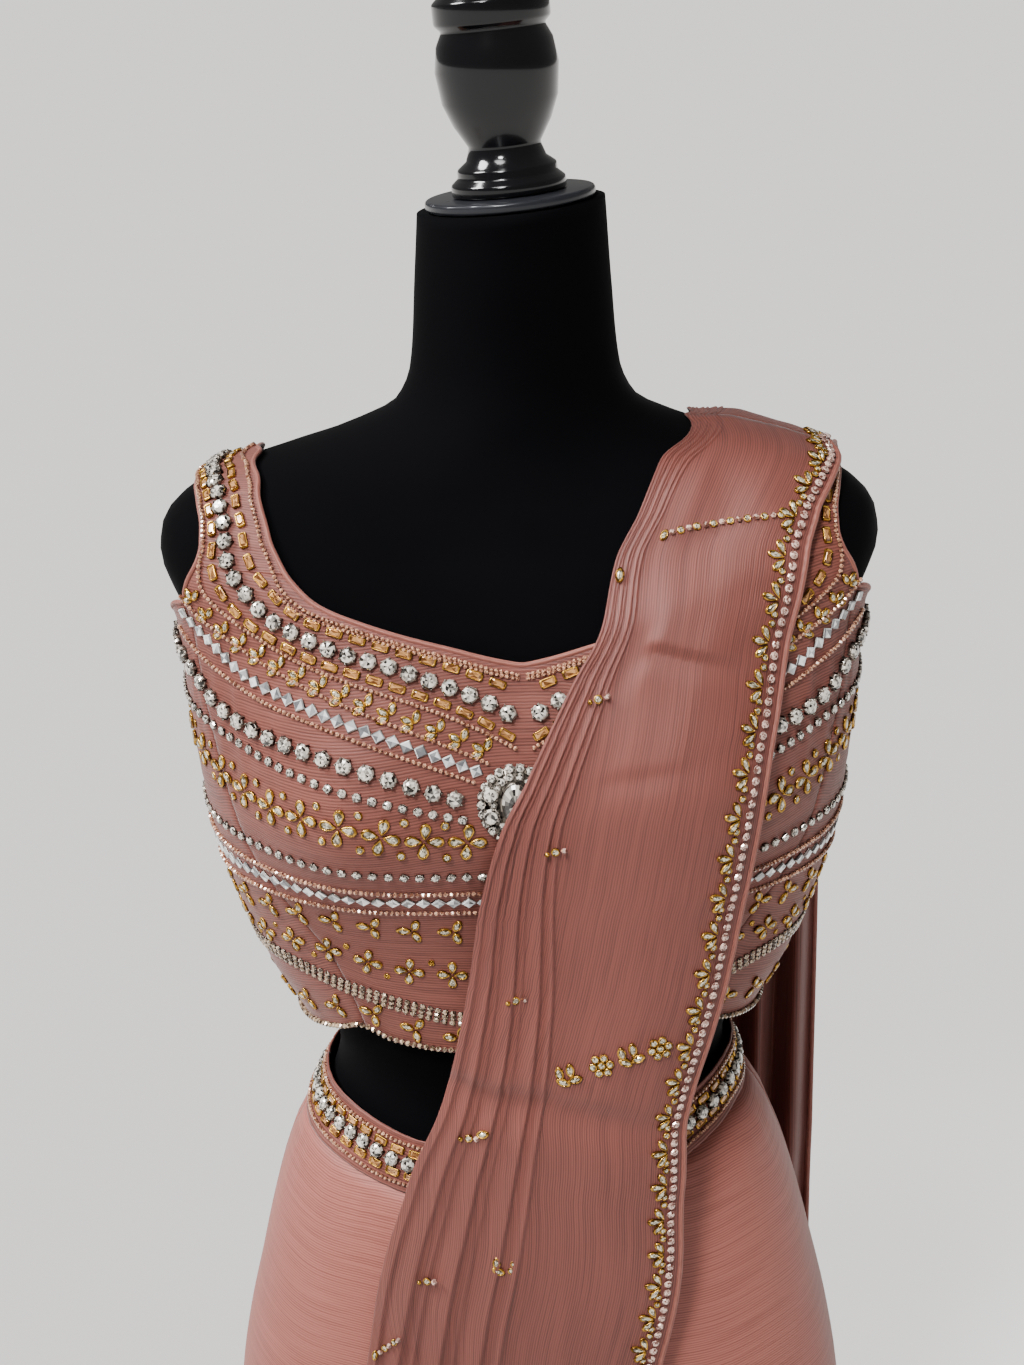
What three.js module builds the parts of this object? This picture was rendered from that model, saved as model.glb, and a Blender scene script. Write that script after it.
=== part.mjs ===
// Pre-draped saree on a limbless dress form with a turned finial and a round stand.
// A sleeveless beaded blouse, a beaded waistband, a flared skirt, and a pleated drape that
// runs from the skirt's side seam up over one shoulder and hangs down the back.
// Millimetres, +Z up, the front faces -Y, the draped shoulder is at +X.
// The origin is on the floor, at the centre of the stand's base.
import * as THREE from 'three';

// Cloth and seams
const CLOTH = 1.8; // thickness of a cloth wall
const SEAM = 0.3; // gap between neighbouring pieces
const EASE = 0.4; // gap between the form and the cloth that rests on it
const PIPING_RADIUS = 1.4;
const ARMHOLE_CLEAR = 0.5; // degrees that the armhole's piping keeps from the back
const PIPING_GAP = 0.9; // between a cloth's edge and its piping

// Heights
const BASE_TOP = 18;
const FORM_BOTTOM = 780;
const NECK_TOP = 1475; // at its middle: the neck's top leans to one side
const NECK_LEAN = THREE.MathUtils.degToRad(4.5);
const HEM_Z = 8;
const WAIST_SEAM_Z = 1004; // the skirt's seam to the waistband, at the side

// Stand and finial
const BASE_RADIUS = 150;
const POLE_RADIUS = 14;
const DISC_RADIUS = 39.5;
const DISC_THICKNESS = 5;

// The finial's turned outline, up from the disc.
const FINIAL = [
  { radius: 0, up: 0 }, { radius: 26.5, up: 0 }, { radius: 26.5, up: 5 }, { radius: 23, up: 8 },
  { radius: 23, up: 11.5 }, { radius: 18.5, up: 15 }, { radius: 16.5, up: 21 },
  { radius: 22.5, up: 31 }, { radius: 26.5, up: 41 }, { radius: 28.2, up: 55 },
  { radius: 26.5, up: 66 }, { radius: 23.5, up: 72 }, { radius: 26.5, up: 75 },
  { radius: 26.5, up: 84 }, { radius: 22, up: 88 }, { radius: 22.5, up: 101 },
  { radius: 21, up: 114 }, { radius: 16.5, up: 125 }, { radius: 7, up: 133 },
  { radius: 6.5, up: 137 }, { radius: 9.5, up: 143 }, { radius: 7, up: 151 },
  { radius: 0, up: 153 },
];

// The dress form, level by level: half its width, its depth to the front and to the back
// of the side line, and the power that squares its rounded section.
const FORM = [
  { z: 780, half: 159, front: 97, back: 110, power: 2.3 },
  { z: 834, half: 159, front: 99, back: 111, power: 2.3 },
  { z: 869, half: 155, front: 98, back: 109, power: 2.3 },
  { z: 903, half: 147, front: 96, back: 103, power: 2.3 },
  { z: 936, half: 139, front: 93, back: 95, power: 2.25 },
  { z: 968, half: 130, front: 89, back: 87, power: 2.2 },
  { z: 1000, half: 119, front: 84, back: 79, power: 2.2 },
  { z: 1020, half: 108, front: 79, back: 73, power: 2.15 },
  { z: 1045, half: 102, front: 77, back: 70, power: 2.15 },
  { z: 1075, half: 111, front: 80, back: 73, power: 2.2 },
  { z: 1107, half: 130, front: 84, back: 79, power: 2.3 },
  { z: 1136, half: 142, front: 87, back: 84, power: 2.4 },
  { z: 1165, half: 151, front: 90, back: 89, power: 2.45 },
  { z: 1193, half: 156, front: 92, back: 92, power: 2.5 },
  { z: 1221, half: 159, front: 92, back: 95, power: 2.55 },
  { z: 1250, half: 161, front: 92, back: 96, power: 2.6 },
  { z: 1287, half: 163, front: 88, back: 95, power: 2.7 },
  { z: 1304, half: 169, front: 84, back: 93, power: 2.7 },
  { z: 1318, half: 173.5, front: 79, back: 90, power: 2.6 },
  { z: 1330, half: 172, front: 72, back: 84, power: 2.5 },
  { z: 1340, half: 164, front: 67, back: 80, power: 2.3 },
  { z: 1349, half: 150, front: 62, back: 75, power: 2.2 },
  { z: 1358, half: 126, front: 58, back: 70, power: 2.1 },
  { z: 1369, half: 90, front: 54, back: 63, power: 2.0 },
  { z: 1384, half: 58, front: 50, back: 56, power: 2.0 },
  { z: 1402, half: 49.5, front: 46, back: 51, power: 2.0 },
  { z: 1440, half: 46, front: 43, back: 47, power: 2.0 },
  { z: 1475, half: 43.5, front: 41, back: 44, power: 2.0 },
];

// The bust of the form: two soft crowns with a shallow dip between them.
const BUST = { x: 80, z: 1212, rise: 29, wide: 52, above: 62, below: 46, dip: 0.45 };

// The skirt's outer face, level by level, and how deep its hanging folds are.
const SKIRT = [
  { z: 8, half: 236, front: 188, back: 192, power: 2.05, fold: 15 },
  { z: 120, half: 227, front: 177, back: 182, power: 2.08, fold: 13 },
  { z: 300, half: 213, front: 160, back: 165, power: 2.1, fold: 9.5 },
  { z: 500, half: 197, front: 141, back: 147, power: 2.15, fold: 6 },
  { z: 680, half: 181, front: 125, back: 131, power: 2.2, fold: 3 },
  { z: 834, half: 168, front: 111, back: 121, power: 2.3, fold: 0.8 },
  { z: 869, half: 162, front: 108, back: 118, power: 2.3, fold: 0.4 },
  { z: 903, half: 154, front: 104, back: 112, power: 2.3, fold: 0 },
  { z: 936, half: 146, front: 101, back: 104, power: 2.25, fold: 0 },
  { z: 968, half: 137, front: 97, back: 96, power: 2.2, fold: 0 },
  { z: 1000, half: 125, front: 91, back: 86, power: 2.2, fold: 0 },
  { z: 1020, half: 118, front: 87, back: 81, power: 2.15, fold: 0 },
];
const SKIRT_FOLDS = 11;

// How far the blouse stands off the form, from its hem up.
const BLOUSE_EASE = [
  { z: 1060, ease: 9.5 },
  { z: 1090, ease: 7.5 },
  { z: 1130, ease: 4.4 },
  { z: 1190, ease: 2.8 },
  { z: 1262, ease: 2.7 },
  { z: 1298, ease: 3.2 },
  { z: 1326, ease: 1.6 },
  { z: 1370, ease: 1.3 },
];

const BACK_EASE = 0.7; // the back stands a little further off

// Edges of the blouse on one side: height against the angle from the centre front.
const NECKLINE = [
  { angle: 0, z: 1283 }, { angle: 8, z: 1286 }, { angle: 20, z: 1291.5 },
  { angle: 32, z: 1297 }, { angle: 42, z: 1303 }, { angle: 50, z: 1309 },
  { angle: 57, z: 1320 },
];
const FRONT_HEM = [
  { angle: 0, z: 1080 }, { angle: 26, z: 1081 }, { angle: 42, z: 1084 },
  { angle: 50, z: 1090 }, { angle: 57, z: 1085 }, { angle: 70, z: 1078 },
  { angle: 90, z: 1071 },
];
const BACK_HEM = [
  { angle: 90, z: 1071 }, { angle: 120, z: 1066 }, { angle: 180, z: 1064 },
];
// The back's side edge from the hem up the side seam and round the armhole to the strap.
const BACK_SIDE = [
  { share: 0, angle: 90, z: 1067 }, { share: 0.4, angle: 90, z: 1170 },
  { share: 0.78, angle: 90, z: 1284 }, { share: 0.86, angle: 97, z: 1291 },
  { share: 0.93, angle: 106, z: 1303 }, { share: 1, angle: 109, z: 1320 },
];
// The back's top edge from the strap's seam down the neckline to the centre back.
const BACK_TOP = [
  { share: 0, angle: 109, z: 1320 }, { share: 0.2, angle: 123, z: 1320 },
  { share: 0.36, angle: 130, z: 1302 }, { share: 0.6, angle: 146, z: 1276 },
  { share: 0.82, angle: 164, z: 1262 }, { share: 1, angle: 180, z: 1258 },
];
// The seam between the blouse's centre front and side front, from the hem to the armhole.
const BUST_SEAM = [
  { z: 1060, angle: 50 }, { z: 1090, angle: 50 }, { z: 1125, angle: 52.5 },
  { z: 1150, angle: 57.5 }, { z: 1180, angle: 64 }, { z: 1230, angle: 69 },
  { z: 1303, angle: 72.5 }, { z: 1320, angle: 71 },
];
const UNDERARM_Z = 1284;
const ARMHOLE_FRONT_Z = 1303; // where the bust seam meets the armhole
// The strap's inner and outer edges from the top of the cup to the shoulder line.
const STRAP = [
  { inAngle: 57, inZ: 1320, outAngle: 71, outZ: 1320 },
  { inAngle: 61.5, inZ: 1330, outAngle: 71.5, outZ: 1326.5 },
  { inAngle: 65.5, inZ: 1339, outAngle: 73, outZ: 1332.5 },
  { inAngle: 70, inZ: 1347, outAngle: 76.5, outZ: 1339.5 },
  { inAngle: 76, inZ: 1354.5, outAngle: 82, outZ: 1345.5 },
  { inAngle: 90, inZ: 1359.5, outAngle: 90, outZ: 1348.5 },
];
// Raised rows of large stones: how high they stand and half of how wide they are.
const STONES = { rise: 2.2, half: 4.2, slope: 1.8 };
// The row of stones across the bust, height against angle.
const BUST_STONES = [
  { angle: 0, z: 1213 }, { angle: 16, z: 1224 }, { angle: 28, z: 1232 },
  { angle: 38, z: 1239 }, { angle: 49, z: 1246.5 }, { angle: 59, z: 1251 },
  { angle: 66, z: 1257 }, { angle: 72, z: 1268 }, { angle: 78, z: 1275 },
  { angle: 90, z: 1278 },
];
const NECKLINE_STONES_DROP = 15; // below the neckline's edge
// The thick band of stones above the hem.
const HEM_STONES = [
  { angle: 0, z: 1099 }, { angle: 24, z: 1101 }, { angle: 38, z: 1107 },
  { angle: 50, z: 1113 }, { angle: 62, z: 1120 }, { angle: 70, z: 1122 },
  { angle: 90, z: 1121 },
];

// The brooch: its middle, half sizes, height, how deep the body is there, and the share of
// the centre front's width beside its middle that has no raised stones.
const BROOCH = {
  angle: -4, z: 1223, halfWidth: 16, halfHeight: 17.5, height: 2.8, bodyDepth: 108, clear: 0.13,
};

// The waistband's top and bottom edges.
const BAND_TOP = [
  { angle: -180, z: 1035 }, { angle: -110, z: 1029 }, { angle: -80, z: 1028 },
  { angle: -66, z: 1027 }, { angle: -54, z: 1024 }, { angle: -39, z: 1020 },
  { angle: 0, z: 1018 }, { angle: 35, z: 1026 }, { angle: 60, z: 1037 },
  { angle: 76, z: 1042 }, { angle: 110, z: 1042 }, { angle: 180, z: 1035 },
];
const BAND_HEIGHT = 28;
const BAND_EASE = 2.4;
// The skirt's levels as shares of the way from its hem to the waistband.
const SKIRT_LEVELS = [0, 0.15, 0.32, 0.5, 0.67, 0.8, 0.89, 0.95, 1];

// The drape's two long edges from the skirt's side seam to the shoulder line: the neck
// edge and the border edge. Angles are from the centre front, positive towards +X.
const DRAPE_PATH = [
  { neckAngle: -89, neckZ: 622, borderAngle: -89, borderZ: 318 },
  { neckAngle: -80, neckZ: 668, borderAngle: -74, borderZ: 360 },
  { neckAngle: -70, neckZ: 716, borderAngle: -56, borderZ: 426 },
  { neckAngle: -60, neckZ: 770, borderAngle: -33, borderZ: 520 },
  { neckAngle: -51, neckZ: 836, borderAngle: -5, borderZ: 640 },
  { neckAngle: -44, neckZ: 899, borderAngle: 14, borderZ: 770 },
  { neckAngle: -42.5, neckZ: 950, borderAngle: 29, borderZ: 895 },
  { neckAngle: -39, neckZ: 1000, borderAngle: 38, borderZ: 965 },
  { neckAngle: -31, neckZ: 1050, borderAngle: 43, borderZ: 1030 },
  { neckAngle: -23, neckZ: 1095, borderAngle: 47, borderZ: 1085 },
  { neckAngle: -18, neckZ: 1135, borderAngle: 49.5, borderZ: 1130 },
  { neckAngle: -14, neckZ: 1178, borderAngle: 50, borderZ: 1178 },
  { neckAngle: -8, neckZ: 1211, borderAngle: 50.5, borderZ: 1212 },
  { neckAngle: 0, neckZ: 1233, borderAngle: 51.5, borderZ: 1238 },
  { neckAngle: 8, neckZ: 1257, borderAngle: 53.5, borderZ: 1262 },
  { neckAngle: 15, neckZ: 1277, borderAngle: 56, borderZ: 1285 },
  { neckAngle: 22, neckZ: 1295, borderAngle: 59, borderZ: 1303 },
  { neckAngle: 28, neckZ: 1318, borderAngle: 63, borderZ: 1320 },
  { neckAngle: 41, neckZ: 1342, borderAngle: 70, borderZ: 1336 },
  { neckAngle: 59, neckZ: 1364, borderAngle: 79, borderZ: 1346 },
  { neckAngle: 90, neckZ: 1375, borderAngle: 90, borderZ: 1351 },
];
const DRAPE_EASE = 2; // over the beading beneath it
const DRAPE_BRIDGE = { low: 880, high: 1215 }; // it is taut across the waist between these
// From the shoulder line over the shoulder blade.
const SHOULDER_PATH = [
  { neckAngle: 90, neckZ: 1375, borderAngle: 90, borderZ: 1351 },
  { neckAngle: 112, neckZ: 1365, borderAngle: 99, borderZ: 1345 },
  { neckAngle: 127, neckZ: 1346, borderAngle: 106, borderZ: 1331 },
  { neckAngle: 134, neckZ: 1318, borderAngle: 110, borderZ: 1311 },
  { neckAngle: 137, neckZ: 1288, borderAngle: 113, borderZ: 1288 },
];
// The hanging end behind: X of its two edges.
const HANG = [
  { z: 372, neckX: 6, borderX: 178 },
  { z: 600, neckX: 14, borderX: 172 },
  { z: 893, neckX: 26, borderX: 168 },
  { z: 1128, neckX: 44, borderX: 166 },
  { z: 1200, neckX: 62, borderX: 162 },
  { z: 1288, neckX: 88, borderX: 151 },
];
const HANG_LEVELS = [1264, 1236, 1200, 1150, 1090, 1030, 960, 880, 790, 690, 590, 480, 372];
const HANG_SIDE = 0.72; // past this share of the half width the end hangs free
const HANG_EASE = 2.5;
const HANG_FOLD_DEPTH = 9;
const HANG_FOLDS = 5.5;
const DRAPE_CLOTH = 1.5;
const DRAPE_STEPS = 25;
const SHOULDER_STEPS = 6;
const PLEATS = 7; // narrow knife pleats beside the flat panel
const PLEATED_SHARE = 0.44; // of the drape's width
const PLEAT_DEPTH = 3;
const PLEAT_REST = 0.8; // share of a pleat that rises before it drops
const PLEAT_FULL_WIDTH = 120; // a drape this wide or wider has its pleats at full depth
const BORDER_RISE = 1.6; // of the row of stones along the border

// Colours
const ROSE = { color: 0xa8706a, roughness: 0.75, metalness: 0 };
const ROSE_DEEP = { color: 0x8f5a54, roughness: 0.75, metalness: 0 };
const VELVET = { color: 0x0b0b0d, roughness: 0.95, metalness: 0 };
const LACQUER = { color: 0x0a0a0b, roughness: 0.15, metalness: 0 };
const STEEL = { color: 0x3a3d42, roughness: 0.35, metalness: 0.9 };
const STONE = { color: 0xdfe3e6, roughness: 0.08, metalness: 0 };

const model = new THREE.Group();
model.name = 'pre_draped_saree';

// Smooth monotone curve through a table's rows: the value of one column at one place.
function along(rows, key, column, place) {
  const last = rows.length - 1;
  const at = (i) => rows[i][key];
  const value = (i) => rows[i][column];
  const slope = (i) => (value(i + 1) - value(i)) / (at(i + 1) - at(i));
  const tangent = (i) => {
    if (i === 0) return slope(0);
    if (i === last) return slope(last - 1);
    const before = slope(i - 1);
    const after = slope(i);
    if (before * after <= 0) return 0;
    const left = at(i) - at(i - 1);
    const right = at(i + 1) - at(i);
    const first = 2 * right + left;
    const second = right + 2 * left;
    return (first + second) / (first / before + second / after);
  };
  const inside = Math.min(Math.max(place, at(0)), at(last));
  let i = 0;
  while (i < last - 1 && inside > at(i + 1)) i += 1;
  const step = at(i + 1) - at(i);
  const t = (inside - at(i)) / step;
  const start = (1 + 2 * t) * (1 - t) ** 2 * value(i) + t * (1 - t) ** 2 * step * tangent(i);
  const end = t * t * (3 - 2 * t) * value(i + 1) + t * t * (t - 1) * step * tangent(i + 1);
  return start + end;
}

const lerp = (a, b, t) => a + (b - a) * t;
const smooth = (t) => THREE.MathUtils.smoothstep(t, 0, 1);
const count = (n) => Array.from({ length: n }, (_, i) => i);

// How far the bust stands forward at one place on the form's front.
function bustRise(x, z, angle) {
  const up = z > BUST.z ? BUST.above : BUST.below;
  const height = Math.exp(-(((z - BUST.z) / up) ** 2));
  const side = Math.abs(x) / BUST.x;
  const across = side < 1
    ? 1 - BUST.dip * (1 - side * side) ** 2
    : Math.exp(-((((side - 1) * BUST.x) / BUST.wide) ** 2));
  const facing = Math.cos(THREE.MathUtils.degToRad(angle));
  return BUST.rise * height * across * smooth(facing / 0.35);
}

// A point of a rounded section: the angle runs from the front towards +X.
function sectionPoint(rows, angle, z) {
  const turn = THREE.MathUtils.degToRad(angle);
  const side = Math.sin(turn);
  const ahead = Math.cos(turn);
  const half = along(rows, 'z', 'half', z);
  const depth = along(rows, 'z', ahead >= 0 ? 'front' : 'back', z);
  const power = along(rows, 'z', 'power', z);
  const sum = (Math.abs(side) / half) ** power + (Math.abs(ahead) / depth) ** power;
  const radius = sum ** (-1 / power);
  return new THREE.Vector3(radius * side, -radius * ahead, z);
}

function formSurface(angle, z) {
  const point = sectionPoint(FORM, angle, z);
  point.y -= bustRise(point.x, z, angle);
  return point;
}

// The skirt's folds: a crest at each side seam, deeper towards the hem.
function foldDepth(angle, z) {
  const turn = THREE.MathUtils.degToRad(angle + 90);
  const even = Math.cos(SKIRT_FOLDS * turn + 0.9 * Math.sin(2 * turn));
  const slow = Math.cos(2 * turn);
  return along(SKIRT, 'z', 'fold', z) * (0.75 * even + 0.25 * slow);
}

function skirtEnvelope(angle, z) {
  return sectionPoint(SKIRT, angle, z);
}

function skirtSurface(angle, z) {
  const point = skirtEnvelope(angle, z);
  const radius = Math.hypot(point.x, point.y);
  const scale = (radius + foldDepth(angle, z)) / radius;
  return new THREE.Vector3(point.x * scale, point.y * scale, z);
}

// A surface moved out along its own normal.
function moved(surface, angle, z, out) {
  const stepAngle = 0.5;
  const stepZ = 0.5;
  const aside = surface(angle + stepAngle, z).sub(surface(angle - stepAngle, z));
  const upward = surface(angle, z + stepZ).sub(surface(angle, z - stepZ));
  const normal = aside.cross(upward).normalize();
  return surface(angle, z).addScaledVector(normal, out);
}

const blouseEase = (z) => along(BLOUSE_EASE, 'z', 'ease', z);
const onBlouse = (angle, z, out) => moved(formSurface, angle, z, blouseEase(z) + out);

// A closed wall between two faces of the same grid: rows and columns of points.
function wall(inner, outer) {
  const rows = inner.length;
  const columns = inner[0].length;
  const points = [...inner.flat(), ...outer.flat()];
  const half = rows * columns;
  const id = (row, column, layer) => layer * half + row * columns + column;
  const index = [];
  const quad = (a, b, c, d) => index.push(a, b, c, a, c, d);
  for (let r = 0; r < rows - 1; r += 1) {
    for (let c = 0; c < columns - 1; c += 1) {
      quad(id(r, c, 1), id(r, c + 1, 1), id(r + 1, c + 1, 1), id(r + 1, c, 1));
      quad(id(r, c, 0), id(r + 1, c, 0), id(r + 1, c + 1, 0), id(r, c + 1, 0));
    }
  }
  for (let c = 0; c < columns - 1; c += 1) {
    quad(id(0, c, 0), id(0, c + 1, 0), id(0, c + 1, 1), id(0, c, 1));
    quad(id(rows - 1, c, 1), id(rows - 1, c + 1, 1), id(rows - 1, c + 1, 0), id(rows - 1, c, 0));
  }
  for (let r = 0; r < rows - 1; r += 1) {
    quad(id(r, 0, 1), id(r + 1, 0, 1), id(r + 1, 0, 0), id(r, 0, 0));
    const end = columns - 1;
    quad(id(r, end, 0), id(r + 1, end, 0), id(r + 1, end, 1), id(r, end, 1));
  }
  return solidFrom(points, index);
}

// A closed geometry from points and triangles, turned to face out if it faces in.
function solidFrom(points, index) {
  let volume = 0;
  for (let i = 0; i < index.length; i += 3) {
    const [a, b, c] = [points[index[i]], points[index[i + 1]], points[index[i + 2]]];
    volume += a.dot(new THREE.Vector3().crossVectors(b, c)) / 6;
  }
  if (volume < 0) {
    for (let i = 0; i < index.length; i += 3) {
      [index[i + 1], index[i + 2]] = [index[i + 2], index[i + 1]];
    }
  }
  const geometry = new THREE.BufferGeometry().setFromPoints(points);
  geometry.setIndex(index);
  geometry.computeVertexNormals();
  return geometry;
}

function add(name, geometry, look) {
  const mesh = new THREE.Mesh(geometry, new THREE.MeshStandardMaterial(look));
  mesh.name = name;
  model.add(mesh);
}

// A wall whose two faces come from one function of column share, row and height above.
function clothWall(rowCount, columnCount, place, rise = () => 0, thickness = CLOTH) {
  const grid = (out) => count(rowCount).map((r) => count(columnCount).map((c) => (
    place(c / (columnCount - 1), r, out(c / (columnCount - 1), r)))));
  return wall(grid(() => 0), grid((u, r) => thickness + rise(u, r)));
}

// Stacked closed rings with both ends closed by a fan.
function ringSolid(rings) {
  const around = rings[0].length;
  const points = rings.flat();
  const centre = (ring) => ring.reduce((sum, p) => sum.add(p), new THREE.Vector3())
    .divideScalar(ring.length);
  const low = points.push(centre(rings[0])) - 1;
  const high = points.push(centre(rings[rings.length - 1])) - 1;
  const top = (rings.length - 1) * around;
  const index = [];
  for (let r = 0; r < rings.length - 1; r += 1) {
    for (let c = 0; c < around; c += 1) {
      const next = (c + 1) % around;
      const [a, b] = [r * around + c, r * around + next];
      index.push(a, b, b + around, a, b + around, a + around);
    }
  }
  for (let c = 0; c < around; c += 1) {
    const next = (c + 1) % around;
    index.push(low, next, c, high, top + c, top + next);
  }
  return solidFrom(points, index);
}

// A rod of a few sides along an open or closed line of points, each with its own
// outward direction: the rod's section turns with it.
function rod(line, outward, radius, sides, closed) {
  const rings = line.map((point, i) => {
    const before = line[closed ? (i + line.length - 1) % line.length : Math.max(i - 1, 0)];
    const after = line[closed ? (i + 1) % line.length : Math.min(i + 1, line.length - 1)];
    const ahead = new THREE.Vector3().subVectors(after, before).normalize();
    const aside = new THREE.Vector3().crossVectors(outward[i], ahead).normalize();
    const up = new THREE.Vector3().crossVectors(ahead, aside);
    return count(sides).map((s) => {
      const turn = ((s + 0.5) * 2 * Math.PI) / sides;
      return point.clone().addScaledVector(aside, radius * Math.cos(turn))
        .addScaledVector(up, radius * Math.sin(turn));
    });
  });
  if (!closed) return ringSolid(rings);
  const points = rings.flat();
  const index = [];
  for (let r = 0; r < rings.length; r += 1) {
    const ahead = (r + 1) % rings.length;
    for (let s = 0; s < sides; s += 1) {
      const next = (s + 1) % sides;
      const [a, b] = [r * sides + s, r * sides + next];
      const [d, c] = [ahead * sides + s, ahead * sides + next];
      index.push(a, b, c, a, c, d);
    }
  }
  return solidFrom(points, index);
}

// A turned piece from its profile: rows of radius and height, closed on the axis.
function turned(profile, sides) {
  const outline = profile.map(({ radius, z }) => new THREE.Vector2(radius, z));
  const lathe = new THREE.LatheGeometry(outline, sides);
  lathe.rotateX(Math.PI / 2);
  return lathe;
}

// Stand: round base, pole, form, neck disc and finial.
function buildStand() {
  add('stand_base', turned([
    { radius: 0, z: 0 }, { radius: BASE_RADIUS - 2, z: 0 }, { radius: BASE_RADIUS, z: 2 },
    { radius: BASE_RADIUS, z: 8 }, { radius: BASE_RADIUS - 5, z: 12 },
    { radius: 34, z: 13 }, { radius: 26, z: BASE_TOP }, { radius: 0, z: BASE_TOP },
  ], 32), STEEL);
  const poleLow = BASE_TOP + SEAM;
  const poleHigh = FORM_BOTTOM - SEAM;
  const pole = new THREE.CylinderGeometry(POLE_RADIUS, POLE_RADIUS, poleHigh - poleLow, 20);
  pole.rotateX(Math.PI / 2);
  pole.translate(0, 0, (poleLow + poleHigh) / 2);
  add('stand_pole', pole, STEEL);
  const discLow = SEAM;
  const discHigh = discLow + DISC_THICKNESS;
  const lean = (geometry) => geometry.rotateY(-NECK_LEAN).translate(0, 0, NECK_TOP);
  add('neck_disc', lean(turned([
    { radius: 0, z: discLow }, { radius: DISC_RADIUS - 1, z: discLow },
    { radius: DISC_RADIUS, z: discLow + 1 }, { radius: DISC_RADIUS, z: discHigh - 1 },
    { radius: DISC_RADIUS - 1, z: discHigh }, { radius: 0, z: discHigh },
  ], 32)), STEEL);
  const foot = discHigh + SEAM;
  const profile = FINIAL.map(({ radius, up }) => ({ radius, z: foot + up }));
  add('finial', lean(turned(profile, 16)), LACQUER);
}

function buildForm() {
  const levels = [];
  FORM.forEach((row, i) => {
    levels.push(row.z);
    const next = FORM[i + 1];
    if (next && next.z - row.z > 25 && row.z > 1130) levels.push((row.z + next.z) / 2);
  });
  const around = 34;
  const rings = levels.map((z) => count(around).map((c) => formSurface((c * 360) / around, z)));
  for (const point of rings[rings.length - 1]) point.z += point.x * Math.tan(NECK_LEAN);
  add('form_torso', ringSolid(rings), VELVET);
}

// Levels across one row of stones, so that the wall steps up and down beside it.
const acrossStones = (middle) => {
  const edge = STONES.half + STONES.slope;
  return [middle - edge, middle - STONES.half, middle + STONES.half, middle + edge];
};

const necklineZ = (angle) => along(NECKLINE, 'angle', 'z', Math.min(angle, STRAP[0].inAngle));
const seamAngle = (z) => along(BUST_SEAM, 'z', 'angle', z);

// Heights spaced evenly between two rows of stones.
const between = (low, high, steps) => count(steps).map((i) => lerp(low, high, (i + 1) / (steps + 1)));

// The blouse's levels from the hem to the row of stones across the bust.
function lowerLevels(angle, bustStones) {
  const hem = along(FRONT_HEM, 'angle', 'z', angle);
  const hemStones = along(HEM_STONES, 'angle', 'z', angle);
  return [
    hem, lerp(hem, hemStones - STONES.half, 0.4), ...acrossStones(hemStones),
    ...between(hemStones + 6, bustStones - 6, 5), ...acrossStones(bustStones),
  ];
}
const LOWER_STONES = [3, 4, 12, 13]; // the levels on the crests of those two rows

function centerLevels(angle) {
  const bustStones = along(BUST_STONES, 'angle', 'z', angle);
  const top = necklineZ(angle);
  const neckStones = top - NECKLINE_STONES_DROP;
  return [
    ...lowerLevels(angle, bustStones), ...between(bustStones + 6, neckStones - 6, 1),
    ...acrossStones(neckStones), top,
  ];
}
const NECK_STONES = [17, 18];

const halfSeamAngle = (z) => THREE.MathUtils.radToDeg(SEAM / 2 / along(FORM, 'z', 'half', z));

function buildBlouseFront() {
  const place = (u, r, out) => {
    const side = 2 * u - 1;
    let angle = Math.abs(side) * 70.5;
    for (let turn = 0; turn < 5; turn += 1) {
      const z = centerLevels(angle)[r];
      angle = Math.abs(side) * (seamAngle(z) - halfSeamAngle(z));
    }
    return onBlouse(Math.sign(side) * angle, centerLevels(angle)[r], out);
  };
  const crests = [...LOWER_STONES, ...NECK_STONES];
  const rise = (u, r) => {
    const besideBrooch = LOWER_STONES.slice(2).includes(r) && Math.abs(u - 0.5) < BROOCH.clear;
    return crests.includes(r) && !besideBrooch ? STONES.rise : 0;
  };
  add('blouse_center_front', clothWall(centerLevels(0).length, 23, place, rise), ROSE);
}

function buildBlouseSides() {
  for (const side of [-1, 1]) {
    const name = side < 0 ? 'blouse_side_front_left' : 'blouse_side_front_right';
    const place = (u, r, out) => {
      let angle = lerp(68, 90, u);
      let z = 0;
      for (let turn = 0; turn < 5; turn += 1) {
        const top = lerp(ARMHOLE_FRONT_Z, UNDERARM_Z, smooth((angle - 72.5) / 17.5));
        const bustStones = Math.min(along(BUST_STONES, 'angle', 'z', angle), top - 9);
        z = [...lowerLevels(angle, bustStones), top][r];
        angle = lerp(seamAngle(z) + halfSeamAngle(z), 90 - halfSeamAngle(z), u);
      }
      return onBlouse(side * angle, z, out);
    };
    const rise = (u, r) => (LOWER_STONES.includes(r) ? STONES.rise : 0);
    add(name, clothWall(16, 7, place, rise), ROSE);
  }
}

// The strap's edges at one place on the way from the cup over the shoulder to the back.
function strapEdges(s) {
  const rows = STRAP.map((row, i) => ({ ...row, s: i / (STRAP.length - 1) }));
  const ahead = s <= 0.5;
  const place = ahead ? s * 2 : (1 - s) * 2;
  const at = (column) => along(rows, 's', column, place);
  const angle = (value) => (ahead ? value : 180 - value);
  return {
    inAngle: angle(at('inAngle')), inZ: at('inZ'),
    outAngle: angle(at('outAngle')), outZ: at('outZ'),
  };
}

const STRAP_STEPS = 16;

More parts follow.
